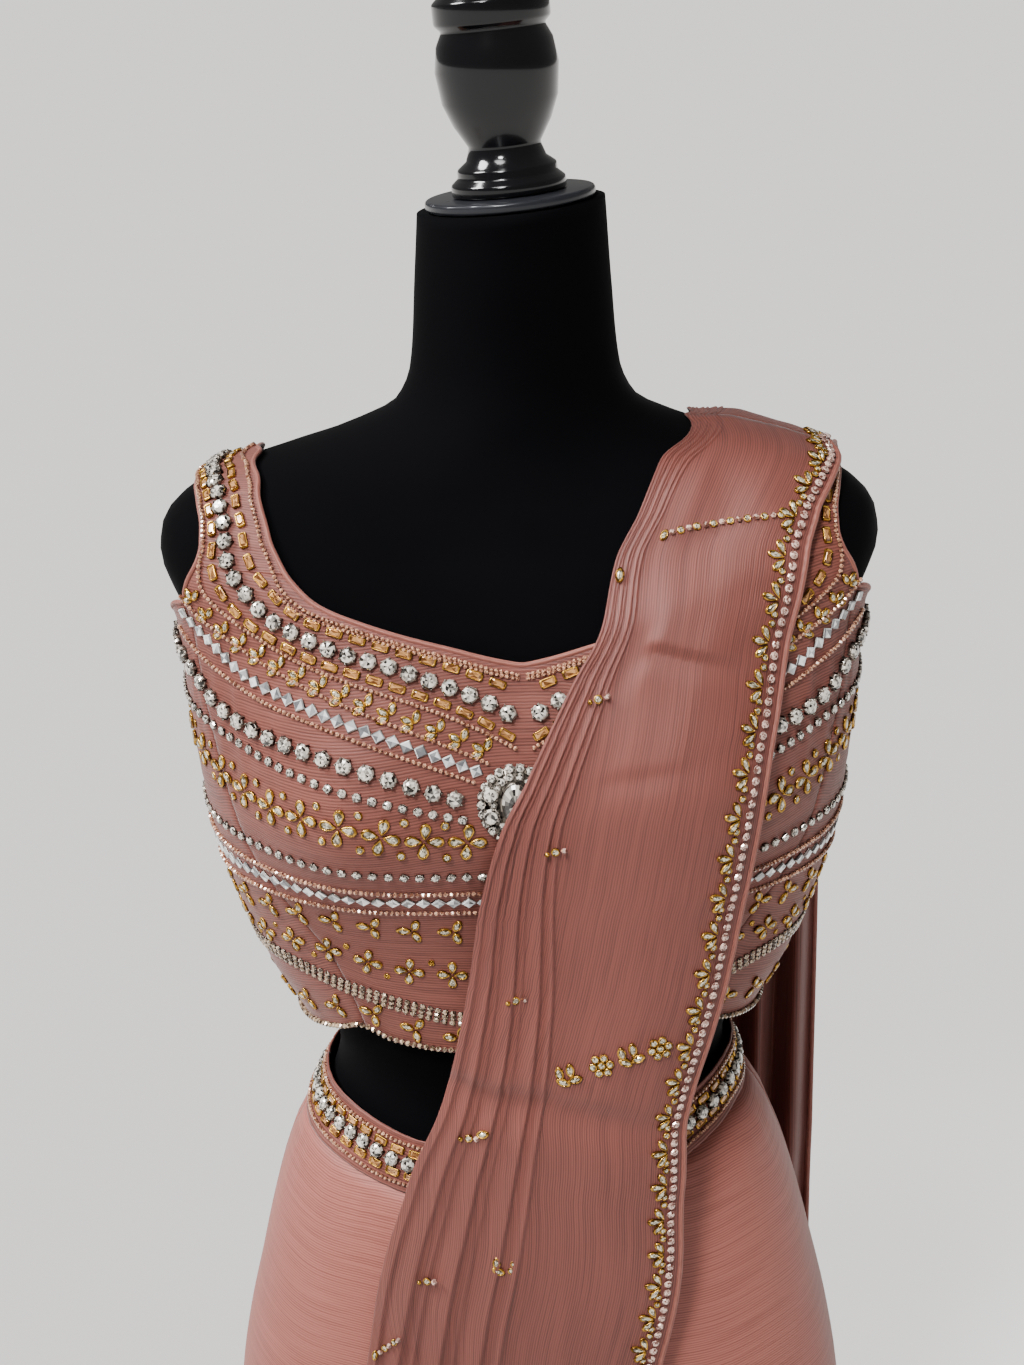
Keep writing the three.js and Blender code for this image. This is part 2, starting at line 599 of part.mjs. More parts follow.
function buildStraps() {
  for (const side of [-1, 1]) {
    const name = side < 0 ? 'blouse_strap_left' : 'blouse_strap_right';
    const place = (u, r, out) => {
      const ends = 0.006;
      const edge = strapEdges(lerp(ends, 1 - ends, r / STRAP_STEPS));
      const angle = lerp(edge.inAngle, edge.outAngle, u);
      const z = lerp(edge.inZ, edge.outZ, u);
      return onBlouse(side * angle, z, out);
    };
    const rise = (u) => (u > 0.3 && u < 0.7 ? STONES.rise : 0);
    add(name, clothWall(STRAP_STEPS + 1, 7, place, rise), ROSE);
  }
}

// A patch filled in between its four edges, each a function from a share to angle and z.
function patch(edges, u, v) {
  const bottom = edges.bottom(u);
  const top = edges.top(u);
  const first = edges.first(v);
  const last = edges.last(v);
  const corners = [edges.bottom(0), edges.bottom(1), edges.top(0), edges.top(1)];
  const mix = (key) => {
    const [a, b, c, d] = corners.map((corner) => corner[key]);
    return lerp(bottom[key], top[key], v) + lerp(first[key], last[key], u)
      - lerp(lerp(a, b, u), lerp(c, d, u), v);
  };
  return { angle: mix('angle'), z: mix('z') };
}

// The back of the blouse in two halves that close at the centre back.
function buildBlouseBack() {
  const levels = 14;
  const gap = halfSeamAngle(UNDERARM_Z);
  const edges = {
    bottom: (u) => {
      const angle = lerp(90 + gap, 180 - gap, u);
      return { angle, z: along(BACK_HEM, 'angle', 'z', angle) };
    },
    first: (v) => ({
      angle: along(BACK_SIDE, 'share', 'angle', v) + gap, z: along(BACK_SIDE, 'share', 'z', v),
    }),
    last: (v) => ({ angle: 180 - gap, z: lerp(BACK_HEM[2].z, BACK_TOP[5].z, v) }),
    top: (u) => ({
      angle: along(BACK_TOP, 'share', 'angle', u) + lerp(gap, -gap, u),
      z: along(BACK_TOP, 'share', 'z', u),
    }),
  };
  for (const side of [-1, 1]) {
    const name = side < 0 ? 'blouse_back_left' : 'blouse_back_right';
    const place = (u, r, out) => {
      const { angle, z } = patch(edges, u, 1 - (1 - r / levels) ** 1.15);
      return onBlouse(side * angle, z, BACK_EASE + out);
    };
    add(name, clothWall(levels + 1, 11, place), ROSE);
  }
}

// The height of the waistband's top edge at any angle, which may run past half a turn.
const bandTop = (angle) => along(BAND_TOP, 'angle', 'z', angle > 180 ? angle - 360 : angle);

// The waistband's inner face follows the form.
const onBand = (angle, z, out) => (
  moved((turn, height) => sectionPoint(FORM, turn, height), angle, z, BAND_EASE + out));

// The waistband, front and back, with a raised row of stones round its middle.
function buildWaistband() {
  for (const front of [true, false]) {
    const place = (u, r, out) => {
      const gap = 0.08;
      const turn = lerp(-90 + gap, 90 - gap, u);
      const angle = front ? turn : 180 - turn;
      const top = bandTop(angle);
      const middle = top - BAND_HEIGHT / 2;
      const z = [top - BAND_HEIGHT, ...acrossStones(middle), top][r];
      return onBand(angle, z, out);
    };
    const rise = (u, r) => (r === 2 || r === 3 ? STONES.rise : 0);
    add(front ? 'waistband_front' : 'waistband_back', clothWall(6, 21, place, rise), ROSE);
  }
}

// The skirt's front and back, from the waistband's seam to the hem.
function buildSkirt() {
  const levels = SKIRT_LEVELS.length;
  for (const front of [true, false]) {
    const place = (u, r, out) => {
      const gap = 0.05;
      const turn = lerp(-90 + gap, 90 - gap, u);
      const angle = front ? turn : 180 - turn;
      const top = bandTop(angle) - BAND_HEIGHT - SEAM * 2;
      const z = lerp(HEM_Z, top, SKIRT_LEVELS[r]);
      return moved(skirtSurface, angle, z, out - CLOTH);
    };
    add(front ? 'skirt_front' : 'skirt_back', clothWall(levels, 31, place), ROSE);
  }
}

// The height of the blouse's inner edge at one angle, above which the form is bare.
function edgeAbove(angle) {
  const aside = Math.abs(angle);
  return aside < NECKLINE[6].angle ? along(NECKLINE, 'angle', 'z', aside)
    : along(STRAP, 'inAngle', 'inZ', aside);
}

// The face that the drape lies on: over the beaded blouse above, over the crests of the
// skirt's folds below, and blended between them at the waist.
function underDrape(angle, z) {
  const low = sectionPoint(SKIRT, angle, Math.min(z, WAIST_SEAM_Z));
  const radius = Math.hypot(low.x, low.y);
  const scale = (radius + along(SKIRT, 'z', 'fold', z) + DRAPE_EASE) / radius;
  low.set(low.x * scale, low.y * scale, z);
  const bare = smooth((z - edgeAbove(Math.min(angle, 90))) / 22);
  const high = onBlouse(angle, z, lerp(CLOTH + STONES.rise, 0, bare) + DRAPE_EASE);
  return low.lerp(high, THREE.MathUtils.smoothstep(z, WAIST_SEAM_Z, BLOUSE_EASE[0].z + 12));
}

// Depths pulled taut: the lowest line over them that nowhere sinks in, at the same heights.
function taut(heights, depths) {
  const hull = [];
  heights.forEach((z, i) => {
    const turnsIn = () => {
      const [a, b] = hull.slice(-2);
      return (heights[b] - heights[a]) * (depths[i] - depths[a])
        >= (depths[b] - depths[a]) * (z - heights[a]);
    };
    while (hull.length > 1 && turnsIn()) hull.pop();
    hull.push(i);
  });
  return heights.map((z, i) => {
    let k = 0;
    while (k < hull.length - 2 && i > hull[k + 1]) k += 1;
    const [a, b] = [hull[k], hull[k + 1]];
    return lerp(depths[a], depths[b], (z - heights[a]) / (heights[b] - heights[a]));
  });
}

// Shares of the drape's width at its columns, and how far each stands up: knife pleats on
// the neck side, then the flat panel with a raised row of stones beside its border.
function drapeColumns() {
  const columns = [];
  const pitch = PLEATED_SHARE / PLEATS;
  for (let i = 0; i < PLEATS; i += 1) {
    columns.push({ share: i * pitch, pleat: 0, stones: 0 });
    columns.push({ share: (i + PLEAT_REST) * pitch, pleat: 1, stones: 0 });
  }
  columns.push({ share: PLEATED_SHARE, pleat: 0, stones: 0 });
  for (const share of [0.6, 0.76, 0.9]) columns.push({ share, pleat: 0, stones: 0 });
  for (const share of [0.93, 0.965]) columns.push({ share, pleat: 0, stones: 1 });
  columns.push({ share: 0.985, pleat: 0, stones: 0 }, { share: 1, pleat: 0, stones: 0 });
  return columns;
}

const withShares = (rows) => rows.map((row, i) => ({ ...row, share: i / (rows.length - 1) }));

// Points of one stretch that lies on the face beneath, from a table of its two edges.
function lyingRow(path, s, columns) {
  const at = (column) => along(path, 'share', column, s);
  return columns.map(({ share }) => underDrape(
    lerp(at('neckAngle'), at('borderAngle'), share),
    lerp(at('neckZ'), at('borderZ'), share),
  ));
}

// The hanging end: it falls straight from the shoulder blade and rests on what stands
// further out below, the hip and the skirt's back.
function hangingRows(columns, start) {
  const reach = columns.map((_, c) => start[c].y);
  return HANG_LEVELS.map((z) => columns.map(({ share }, c) => {
    const x = lerp(along(HANG, 'z', 'neckX', z), along(HANG, 'z', 'borderX', z), share);
    const onto = (rows, out) => {
      const half = along(rows, 'z', 'half', z);
      const power = along(rows, 'z', 'power', z);
      const side = Math.min(x / half, HANG_SIDE);
      return along(rows, 'z', 'back', z) * (1 - side ** power) ** (1 / power) + out;
    };
    const skirt = z < WAIST_SEAM_Z ? onto(SKIRT, along(SKIRT, 'z', 'fold', z)) : 0;
    const form = z > FORM_BOTTOM ? onto(FORM, BLOUSE_EASE[0].ease) : 0;
    reach[c] = Math.max(reach[c], Math.max(skirt, form) + HANG_EASE);
    return new THREE.Vector3(x, reach[c], z);
  }));
}

// The fold of the hanging end at one share of its width, once it has opened out.
const hangFold = (share) => 0.5 + 0.5 * Math.cos(2 * Math.PI * (HANG_FOLDS * share + 0.6 * share ** 2));

function buildDrape() {
  const columns = drapeColumns();
  const front = withShares(DRAPE_PATH);
  const over = withShares(SHOULDER_PATH);
  const frontRows = count(DRAPE_STEPS + 1).map((i) => lyingRow(front, i / DRAPE_STEPS, columns));
  columns.forEach((_, c) => {
    const bridged = frontRows.filter((row) => row[c].z > DRAPE_BRIDGE.low
      && row[c].z < DRAPE_BRIDGE.high);
    const depths = taut(bridged.map((row) => row[c].z), bridged.map((row) => -row[c].y));
    bridged.forEach((row, i) => { row[c].y = -depths[i]; });
  });
  const overRows = count(SHOULDER_STEPS + 1).map((i) => lyingRow(over, i / SHOULDER_STEPS, columns));
  const hangRows = [
    overRows[SHOULDER_STEPS].map((point) => point.clone()),
    ...hangingRows(columns, overRows[SHOULDER_STEPS]),
  ];
  const rows = [...frontRows, ...overRows, ...hangRows];
  const joints = [frontRows.length, frontRows.length + overRows.length];
  for (const joint of joints) {
    columns.forEach((_, c) => {
      const ahead = new THREE.Vector3().subVectors(rows[joint + 1][c], rows[joint - 2][c])
        .setLength(SEAM);
      rows[joint - 1][c].addScaledVector(ahead, -0.5);
      rows[joint][c].addScaledVector(ahead, 0.5);
    });
  }
  const last = columns.length - 1;
  const normals = rows.map((row, r) => row.map((_, c) => {
    const up = new THREE.Vector3().subVectors(
      rows[Math.min(r + 2, rows.length - 1)][c],
      rows[Math.max(r - 2, 0)][c],
    );
    const aside = new THREE.Vector3().subVectors(row[Math.min(c + 2, last)], row[Math.max(c - 2, 0)]);
    return aside.cross(up).normalize();
  }));
  const opened = (r) => smooth((r - joints[1]) / 4);
  const lift = (r, c) => {
    const width = rows[r][0].distanceTo(rows[r][last]);
    const pleat = PLEAT_DEPTH * Math.min(1, width / PLEAT_FULL_WIDTH) * columns[c].pleat;
    return lerp(pleat, HANG_FOLD_DEPTH * 2 * hangFold(columns[c].share), opened(r));
  };
  const face = (r, c, out) => rows[r][c].clone().addScaledVector(normals[r][c], lift(r, c) + out);
  const stretch = (from, to) => {
    const grid = (out) => count(to - from).map((i) => columns.map((_, c) => face(from + i, c, out(c))));
    return wall(grid(() => 0), grid((c) => DRAPE_CLOTH + columns[c].stones * BORDER_RISE));
  };
  add('drape_front', stretch(0, joints[0]), ROSE);
  add('drape_shoulder', stretch(joints[0], joints[1]), ROSE);
  add('drape_back', stretch(joints[1], rows.length), ROSE_DEEP);
  const cord = rows.map((row, r) => {
    const aside = new THREE.Vector3().subVectors(face(r, last, 0), face(r, last - 1, 0)).normalize();
    return face(r, last, DRAPE_CLOTH / 2).addScaledVector(aside, PIPING_RADIUS + SEAM);
  });
  const kept = rows.map((_, r) => r).filter((r) => !joints.includes(r));
  add('drape_border_cord', rod(
    kept.map((r) => cord[r]),
    kept.map((r) => normals[r][last]),
    PIPING_RADIUS,
    5,
    false,
  ), ROSE);
}

// A loop of piping just outside an edge of the blouse: the edge's points, moved outwards
// past the cloth, away from the middle of the piece that it binds.
function piping(name, edge) {
  const normals = edge.map(({ angle, z }) => (
    onBlouse(angle, z, 1).sub(onBlouse(angle, z, 0)).normalize()));
  const points = edge.map(({ angle, z }) => onBlouse(angle, z, PIPING_RADIUS + SEAM));
  const line = points.map((point, i) => {
    const before = points[(i + points.length - 1) % points.length];
    const after = points[(i + 1) % points.length];
    const ahead = new THREE.Vector3().subVectors(after, before).normalize();
    const away = new THREE.Vector3().crossVectors(normals[i], ahead).normalize();
    return point.clone().addScaledVector(away, PIPING_RADIUS + PIPING_GAP);
  });
  add(name, rod(line, normals, PIPING_RADIUS, 4, true), ROSE);
}

// The neckline, all round: front, one strap, back, the other strap.
function necklineEdge() {
  const right = [];
  for (const angle of [0, 5, 12, 20, 30, 40, 49]) right.push({ angle, z: necklineZ(angle) });
  const strapSteps = 14;
  count(strapSteps + 1).forEach((i) => {
    const edge = strapEdges(i / strapSteps);
    right.push({ angle: edge.inAngle, z: edge.inZ });
  });
  for (const share of [0.26, 0.31, 0.36, 0.42, 0.48, 0.6, 0.72, 0.82, 0.91, 1]) {
    right.push({ angle: along(BACK_TOP, 'share', 'angle', share), z: along(BACK_TOP, 'share', 'z', share) });
  }
  const left = right.slice(1, -1).reverse().map(({ angle, z }) => ({ angle: -angle, z }));
  return [...right, ...left];
}

// One armhole: up the strap's outer edge from the front, down the back, under the arm.
function armholeEdge(side) {
  const edge = [];
  const strapSteps = 10;
  count(strapSteps + 1).forEach((i) => {
    const place = strapEdges(i / strapSteps);
    edge.push({ angle: place.outAngle, z: place.outZ });
  });
  for (const share of [0.965, 0.945, 0.93, 0.91, 0.89, 0.86, 0.82]) {
    const angle = along(BACK_SIDE, 'share', 'angle', share) - ARMHOLE_CLEAR;
    edge.push({ angle, z: along(BACK_SIDE, 'share', 'z', share) });
  }
  for (const angle of [90, 86, 81, 76]) {
    edge.push({ angle, z: lerp(ARMHOLE_FRONT_Z, UNDERARM_Z, smooth((angle - 72.5) / 17.5)) });
  }
  for (const z of [ARMHOLE_FRONT_Z, 1311]) edge.push({ angle: seamAngle(z), z });
  return side > 0 ? edge : edge.map(({ angle, z }) => ({ angle: -angle, z })).reverse();
}

function buildPiping() {
  piping('neckline_piping', necklineEdge());
  piping('armhole_piping_left', armholeEdge(-1).reverse());
  piping('armhole_piping_right', armholeEdge(1).reverse());
}

// The round brooch at the centre front: rings on the blouse's own face, moved out.
function buildBrooch() {
  const sides = 16;
  const degrees = THREE.MathUtils.radToDeg(1 / BROOCH.bodyDepth);
  const ring = (share, height) => count(sides).map((i) => {
    const turn = (i * 2 * Math.PI) / sides;
    return onBlouse(
      BROOCH.angle + degrees * BROOCH.halfWidth * share * Math.sin(turn),
      BROOCH.z - BROOCH.halfHeight * share * Math.cos(turn),
      CLOTH + EASE + height,
    );
  });
  const rings = [ring(0.4, 0), ring(1, 0), ring(1, 0.6), ring(0.86, BROOCH.height * 0.8),
    ring(0.4, BROOCH.height)];
  add('brooch', ringSolid(rings), STONE);
}

buildStand();
buildForm();
buildBlouseFront();
buildBlouseSides();
buildStraps();
buildBlouseBack();
buildPiping();
buildBrooch();
buildWaistband();
buildSkirt();
buildDrape();

export default model;
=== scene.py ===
"""Looks of the pre-draped saree on its dress form.

Every shape is worked out on the body it hangs on. A place on the body is an angle round it, in
degrees from the centre front (positive towards +X, 180 at the back), and a height above the
floor. Sizes are in millimetres; meshes are put in in metres.
"""

from __future__ import annotations

import logging
from collections.abc import Callable, Sequence
from dataclasses import dataclass, field
from enum import Enum
from typing import Any

import bpy
import numpy as np
from mathutils import Matrix

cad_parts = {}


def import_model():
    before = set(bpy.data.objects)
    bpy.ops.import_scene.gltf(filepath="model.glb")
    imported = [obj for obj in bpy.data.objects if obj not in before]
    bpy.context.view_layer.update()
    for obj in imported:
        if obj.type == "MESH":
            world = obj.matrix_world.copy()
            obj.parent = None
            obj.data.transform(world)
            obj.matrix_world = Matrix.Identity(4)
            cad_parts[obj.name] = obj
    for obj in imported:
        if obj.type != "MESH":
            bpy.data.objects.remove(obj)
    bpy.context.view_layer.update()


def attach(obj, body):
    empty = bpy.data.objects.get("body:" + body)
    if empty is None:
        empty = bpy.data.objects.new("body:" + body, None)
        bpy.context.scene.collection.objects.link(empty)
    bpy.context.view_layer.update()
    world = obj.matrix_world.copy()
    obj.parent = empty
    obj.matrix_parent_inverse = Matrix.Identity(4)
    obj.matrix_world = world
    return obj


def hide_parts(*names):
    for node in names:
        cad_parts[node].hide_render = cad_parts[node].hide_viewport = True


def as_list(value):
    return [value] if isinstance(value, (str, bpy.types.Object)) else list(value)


log = logging.getLogger("saree")

MM = 0.001  # metres in a millimetre
MM_PER_DEGREE = 1.6  # how far a degree round the body is, roughly, in weighing a path's corners
Array = np.ndarray
Surface = Callable[[Array, Array], Array]
Path = tuple[tuple[float, float], ...]
Piece = bpy.types.Object


# Numbers and curves.


@dataclass(frozen=True)
class Curve:
    """A smooth curve through a few given points that never runs past them."""

    rows: Path

    def at(self, place: Array | float) -> Array:
        """The curve's height at a place: a cubic between each pair of points.

        Each inner point's slope is the weighted harmonic mean of the slopes beside it, or zero
        where they point opposite ways.

        Args:
            place: where to read the curve.

        Returns:
            The values there.
        """
        xs, ys = np.array(self.rows, float).T
        x = np.clip(np.asarray(place, float), xs[0], xs[-1])
        step = np.diff(xs)
        slope = np.diff(ys) / step
        before, after = slope[:-1], slope[1:]
        agree = before * after > 0
        first, second = 2 * step[1:] + step[:-1], step[1:] + 2 * step[:-1]
        safe_before, safe_after = np.where(agree, before, 1.0), np.where(agree, after, 1.0)
        middle = np.where(agree, (first + second) / (first / safe_before + second / safe_after), 0)
        tangent = np.concatenate([slope[:1], middle, slope[-1:]])
        i = np.clip(np.searchsorted(xs, x, side="right") - 1, 0, len(xs) - 2)
        t = (x - xs[i]) / step[i]
        start = (1 + 2 * t) * (1 - t) ** 2 * ys[i] + t * (1 - t) ** 2 * step[i] * tangent[i]
        end = t * t * (3 - 2 * t) * ys[i + 1] + t * t * (t - 1) * step[i] * tangent[i + 1]
        return start + end


def lerp(a: Any, b: Any, t: Any) -> Any:
    """A straight mix of a and b: a at 0 and b at 1."""
    return a + (b - a) * t


def smooth(t: Array | float) -> Array:
    """A soft step from 0 to 1: three t squared less two t cubed."""
    t = np.clip(t, 0.0, 1.0)
    return t * t * (3 - 2 * t)


def down(count: int) -> Array:
    """Even shares from 0 to 1 down the rows of a grid."""
    return np.linspace(0, 1, count)[:, None]


def over(count: int) -> Array:
    """Even shares from 0 to 1 across the columns of a grid."""
    return np.linspace(0, 1, count)[None, :]


def unit(vectors: Array) -> Array:
    """The vectors at length one."""
    return vectors / np.maximum(np.linalg.norm(vectors, axis=-1, keepdims=True), 1e-9)


def uneven(u: Array, v: Array, phase: float = 0.0) -> Array:
    """A soft uneven ripple from -1 to 1: three sines with unrelated wavelengths and bends."""
    first = np.sin(u + 1.3 * np.sin(0.31 * v + phase) + phase)
    second = np.sin(1.73 * u - 0.9 * np.sin(0.47 * v + 2.1 * phase) + 2.6)
    third = np.sin(0.59 * u + 0.41 * v + 4.4 * phase)
    return (first + 0.6 * second + 0.7 * third) / 2.3


def trough(distance: Array, width: float) -> Array:
    """A soft groove: one at its middle, falling off as a bell of that half width."""
    return np.exp(-((distance / width) ** 2))


# The body under the clothes.


@dataclass(frozen=True)
class Levels:
    """Rounded sections at a few heights: rows of z, half width, front, back and power."""

    rows: tuple[tuple[float, float, float, float, float], ...]

    def column(self, index: int, z: Array | float) -> Array:
        """One column of the table as a smooth curve over height."""
        return Curve(tuple((row[0], row[index]) for row in self.rows)).at(z)

    def point(self, angle: Array, z: Array) -> Array:
        """Points of a rounded section: a superellipse, deeper or shallower behind than in front.

        Args:
            angle: degrees round the body.
            z: heights.

        Returns:
            The points, with a last axis of three.
        """
        angle, z = np.broadcast_arrays(np.asarray(angle, float), np.asarray(z, float))
        turn = np.radians(angle)
        side, ahead = np.sin(turn), np.cos(turn)
        depth = np.where(ahead >= 0, self.column(2, z), self.column(3, z))
        power = self.column(4, z)
        across = (np.abs(side) / self.column(1, z)) ** power
        radius = (across + (np.abs(ahead) / depth) ** power) ** (-1 / power)
        return np.stack([radius * side, -radius * ahead, z], axis=-1)


FORM = Levels((
    (780, 159, 97, 110, 2.3), (834, 159, 99, 111, 2.3), (869, 155, 98, 109, 2.3),
    (903, 147, 96, 103, 2.3), (936, 139, 93, 95, 2.25), (968, 130, 89, 87, 2.2),
    (1000, 119, 84, 79, 2.2), (1020, 108, 79, 73, 2.15), (1045, 102, 77, 70, 2.15),
    (1075, 111, 80, 73, 2.2), (1107, 130, 84, 79, 2.3), (1136, 142, 87, 84, 2.4),
    (1165, 151, 90, 89, 2.45), (1193, 156, 92, 92, 2.5), (1221, 159, 92, 95, 2.55),
    (1250, 161, 92, 96, 2.6), (1287, 163, 88, 95, 2.7), (1304, 169, 84, 93, 2.7),
    (1318, 173.5, 79, 90, 2.6), (1330, 172, 72, 84, 2.5), (1340, 164, 67, 80, 2.3),
    (1349, 150, 62, 75, 2.2), (1358, 126, 58, 70, 2.1), (1369, 90, 54, 63, 2.0),
    (1384, 58, 50, 56, 2.0), (1402, 49.5, 46, 51, 2.0), (1440, 46, 43, 47, 2.0),
    (1475, 43.5, 41, 44, 2.0),
))
SKIRT = Levels((
    (8, 236, 188, 192, 2.05), (120, 227, 177, 182, 2.08), (300, 213, 160, 165, 2.1),
    (500, 197, 141, 147, 2.15), (680, 181, 125, 131, 2.2), (834, 168, 111, 121, 2.3),
    (869, 162, 108, 118, 2.3), (903, 154, 104, 112, 2.3), (936, 146, 101, 104, 2.25),
    (968, 137, 97, 96, 2.2), (1000, 125, 91, 86, 2.2), (1020, 118, 87, 81, 2.15),
))
SKIRT_FOLD_DEPTH = Curve((
    (8, 15), (120, 13), (300, 9.5), (500, 6), (680, 3), (834, 0.8), (869, 0.4), (903, 0), (1020, 0),
))
SKIRT_FOLDS = 11
BLOUSE_EASE = Curve((
    (1060, 9.5), (1090, 7.5), (1130, 4.4), (1190, 2.8), (1262, 2.7), (1298, 3.2), (1326, 1.6),
    (1370, 1.3),
))
CLOTH = 1.8  # how far the blouse's outer face stands off its ease
NECK_LEAN = np.tan(np.radians(4.5))


@dataclass(frozen=True)
class Bust:
    """The bust of the form: two soft crowns with a shallow dip between them."""

    aside: float = 80
    z: float = 1212
    rise: float = 29
    wide: float = 52
    above: float = 62
    below: float = 46
    dip: float = 0.45

    def forward(self, x: Array, z: Array, angle: Array) -> Array:
        """How far the bust stands forward: a bell over height times a shape across.

        Between the crowns the shape dips by a quartic, outside them it falls as a bell, and it
        fades where the body turns to its side.

        Args:
            x: places across the body.
            z: heights.
            angle: degrees round the body.

        Returns:
            The distances.
        """
        up = np.where(z > self.z, self.above, self.below)
        height = np.exp(-(((z - self.z) / up) ** 2))
        side = np.abs(x) / self.aside
        inner = 1 - self.dip * (1 - np.minimum(side, 1) ** 2) ** 2
        outer = np.exp(-((((side - 1) * self.aside) / self.wide) ** 2))
        facing = np.cos(np.radians(angle))
        return self.rise * height * np.where(side < 1, inner, outer) * smooth(facing / 0.35)


def form_surface(angle: Array, z: Array) -> Array:
    """The bare form: its rounded section with the bust standing forward."""
    points = FORM.point(angle, z)
    forward = Bust().forward(points[..., 0], points[..., 2], np.asarray(angle, float))
    points[..., 1] -= forward
    return points


def fold_wave(angle: Array) -> Array:
    """The skirt's folds round its hem: an uneven cosine with a crest at each side seam."""
    turn = np.radians(np.asarray(angle, float) + 90)
    return 0.75 * np.cos(SKIRT_FOLDS * turn + 0.9 * np.sin(2 * turn)) + 0.25 * np.cos(2 * turn)


def skirt_surface(angle: Array, z: Array) -> Array:
    """The skirt's outer face: its section pushed out and in along its radius by the folds."""
    points = SKIRT.point(angle, z)
    radius = np.hypot(points[..., 0], points[..., 1])
    scale = 1 + SKIRT_FOLD_DEPTH.at(z) * fold_wave(angle) / radius
    points[..., :2] *= scale[..., None]
    return points


def normal_of(surface: Surface, angle: Array, z: Array, step: float = 0.5) -> Array:
    """The outward direction of a surface: the cross of its two slopes."""
    aside = surface(angle + step, z) - surface(angle - step, z)
    upward = surface(angle, z + step) - surface(angle, z - step)
    return unit(np.cross(aside, upward))


def moved(surface: Surface, angle: Array, z: Array, out: Array | float) -> Array:
    """A surface's points moved out along its own outward direction."""
    angle, z = np.broadcast_arrays(np.asarray(angle, float), np.asarray(z, float))
    shift = np.broadcast_to(np.asarray(out, float), angle.shape)[..., None]
    return surface(angle, z) + normal_of(surface, angle, z) * shift


def on_blouse(angle: Array, z: Array, out: Array | float = CLOTH) -> Array:
    """A place on the blouse, out from its inner face."""
    return moved(form_surface, angle, z, BLOUSE_EASE.at(z) + out)


BAND_EASE = 2.4  # kept between the form and the waistband


def on_band(angle: Array, z: Array, out: Array | float = CLOTH) -> Array:
    """A place on the waistband, out from its inner face."""
    return moved(FORM.point, angle, z, BAND_EASE + out)


# Edges of the pieces.

NECKLINE = Curve((
    (0, 1282.5), (8, 1285), (20, 1290), (32, 1295.3), (42, 1301.3), (50, 1308), (57, 1320),
))
FRONT_HEM = Curve((
    (0, 1080), (26, 1081), (42, 1084), (50, 1090), (57, 1085), (70, 1078), (90, 1071),
))
BACK_HEM = Curve(((90, 1071), (120, 1066), (180, 1064)))
BUST_SEAM = Curve((
    (1060, 50), (1090, 50), (1125, 52.5), (1150, 57.5), (1180, 64), (1230, 69), (1303, 72.5),
    (1320, 71),
))
BACK_SIDE_ANGLE = Curve(((0, 90), (0.4, 90), (0.78, 90), (0.86, 97), (0.93, 106), (1, 109)))
BACK_SIDE_Z = Curve((
    (0, 1067), (0.4, 1170), (0.78, 1284), (0.86, 1291), (0.93, 1303), (1, 1320),
))
BACK_TOP_ANGLE = Curve(((0, 109), (0.2, 123), (0.36, 130), (0.6, 146), (0.82, 164), (1, 180)))
BACK_TOP_Z = Curve(((0, 1320), (0.2, 1320), (0.36, 1302), (0.6, 1276), (0.82, 1262), (1, 1258)))
STRAP_IN_ANGLE = Curve(((0, 57), (0.2, 61.5), (0.4, 65.5), (0.6, 70), (0.8, 76), (1, 90)))
STRAP_IN_Z = Curve(((0, 1320), (0.2, 1330), (0.4, 1339), (0.6, 1347), (0.8, 1354.5), (1, 1359.5)))
STRAP_OUT_ANGLE = Curve(((0, 71), (0.2, 71.5), (0.4, 73), (0.6, 76.5), (0.8, 82), (1, 90)))
STRAP_OUT_Z = Curve((
    (0, 1320), (0.2, 1326.5), (0.4, 1332.5), (0.6, 1339.5), (0.8, 1345.5), (1, 1348.5),
))
STRAP_FOOT = 57  # where the strap's inner edge leaves the neckline, in degrees
UNDERARM_Z = 1284
ARMHOLE_FRONT_Z = 1303
ARMHOLE_FRONT = 72.5
ARMHOLE_SPREAD = 17.5  # degrees from there to the side
BAND_TOP = Curve((
    (-180, 1035), (-110, 1029), (-80, 1028), (-66, 1027), (-54, 1024), (-39, 1020), (0, 1018),
    (35, 1026), (60, 1037), (76, 1042), (110, 1042), (180, 1035),
))
BAND_HEIGHT = 28
HEM_Z = 8


def band_top(angle: Array) -> Array:
    """The height of the waistband's top edge at any angle, which may run past half a turn."""
    angle = np.asarray(angle, float)
    return BAND_TOP.at(np.where(angle > 180, angle - 360, angle))


def armhole_foot(angle: Array) -> Array:
    """The height of the armhole's lower edge, from its front corner to under the arm."""
    share = smooth((angle - ARMHOLE_FRONT) / ARMHOLE_SPREAD)
    return lerp(ARMHOLE_FRONT_Z, UNDERARM_Z, share)


def strap_edges(s: Array) -> tuple[Array, Array, Array, Array]:
    """Angle and height of a strap's inner and outer edges, from the front over to the back."""
    ahead = s <= 0.5
    place = np.where(ahead, 2 * s, 2 * (1 - s))
    inner, outer = STRAP_IN_ANGLE.at(place), STRAP_OUT_ANGLE.at(place)
    return (
        np.where(ahead, inner, 180 - inner), STRAP_IN_Z.at(place),
        np.where(ahead, outer, 180 - outer), STRAP_OUT_Z.at(place),
    )


# Meshes.


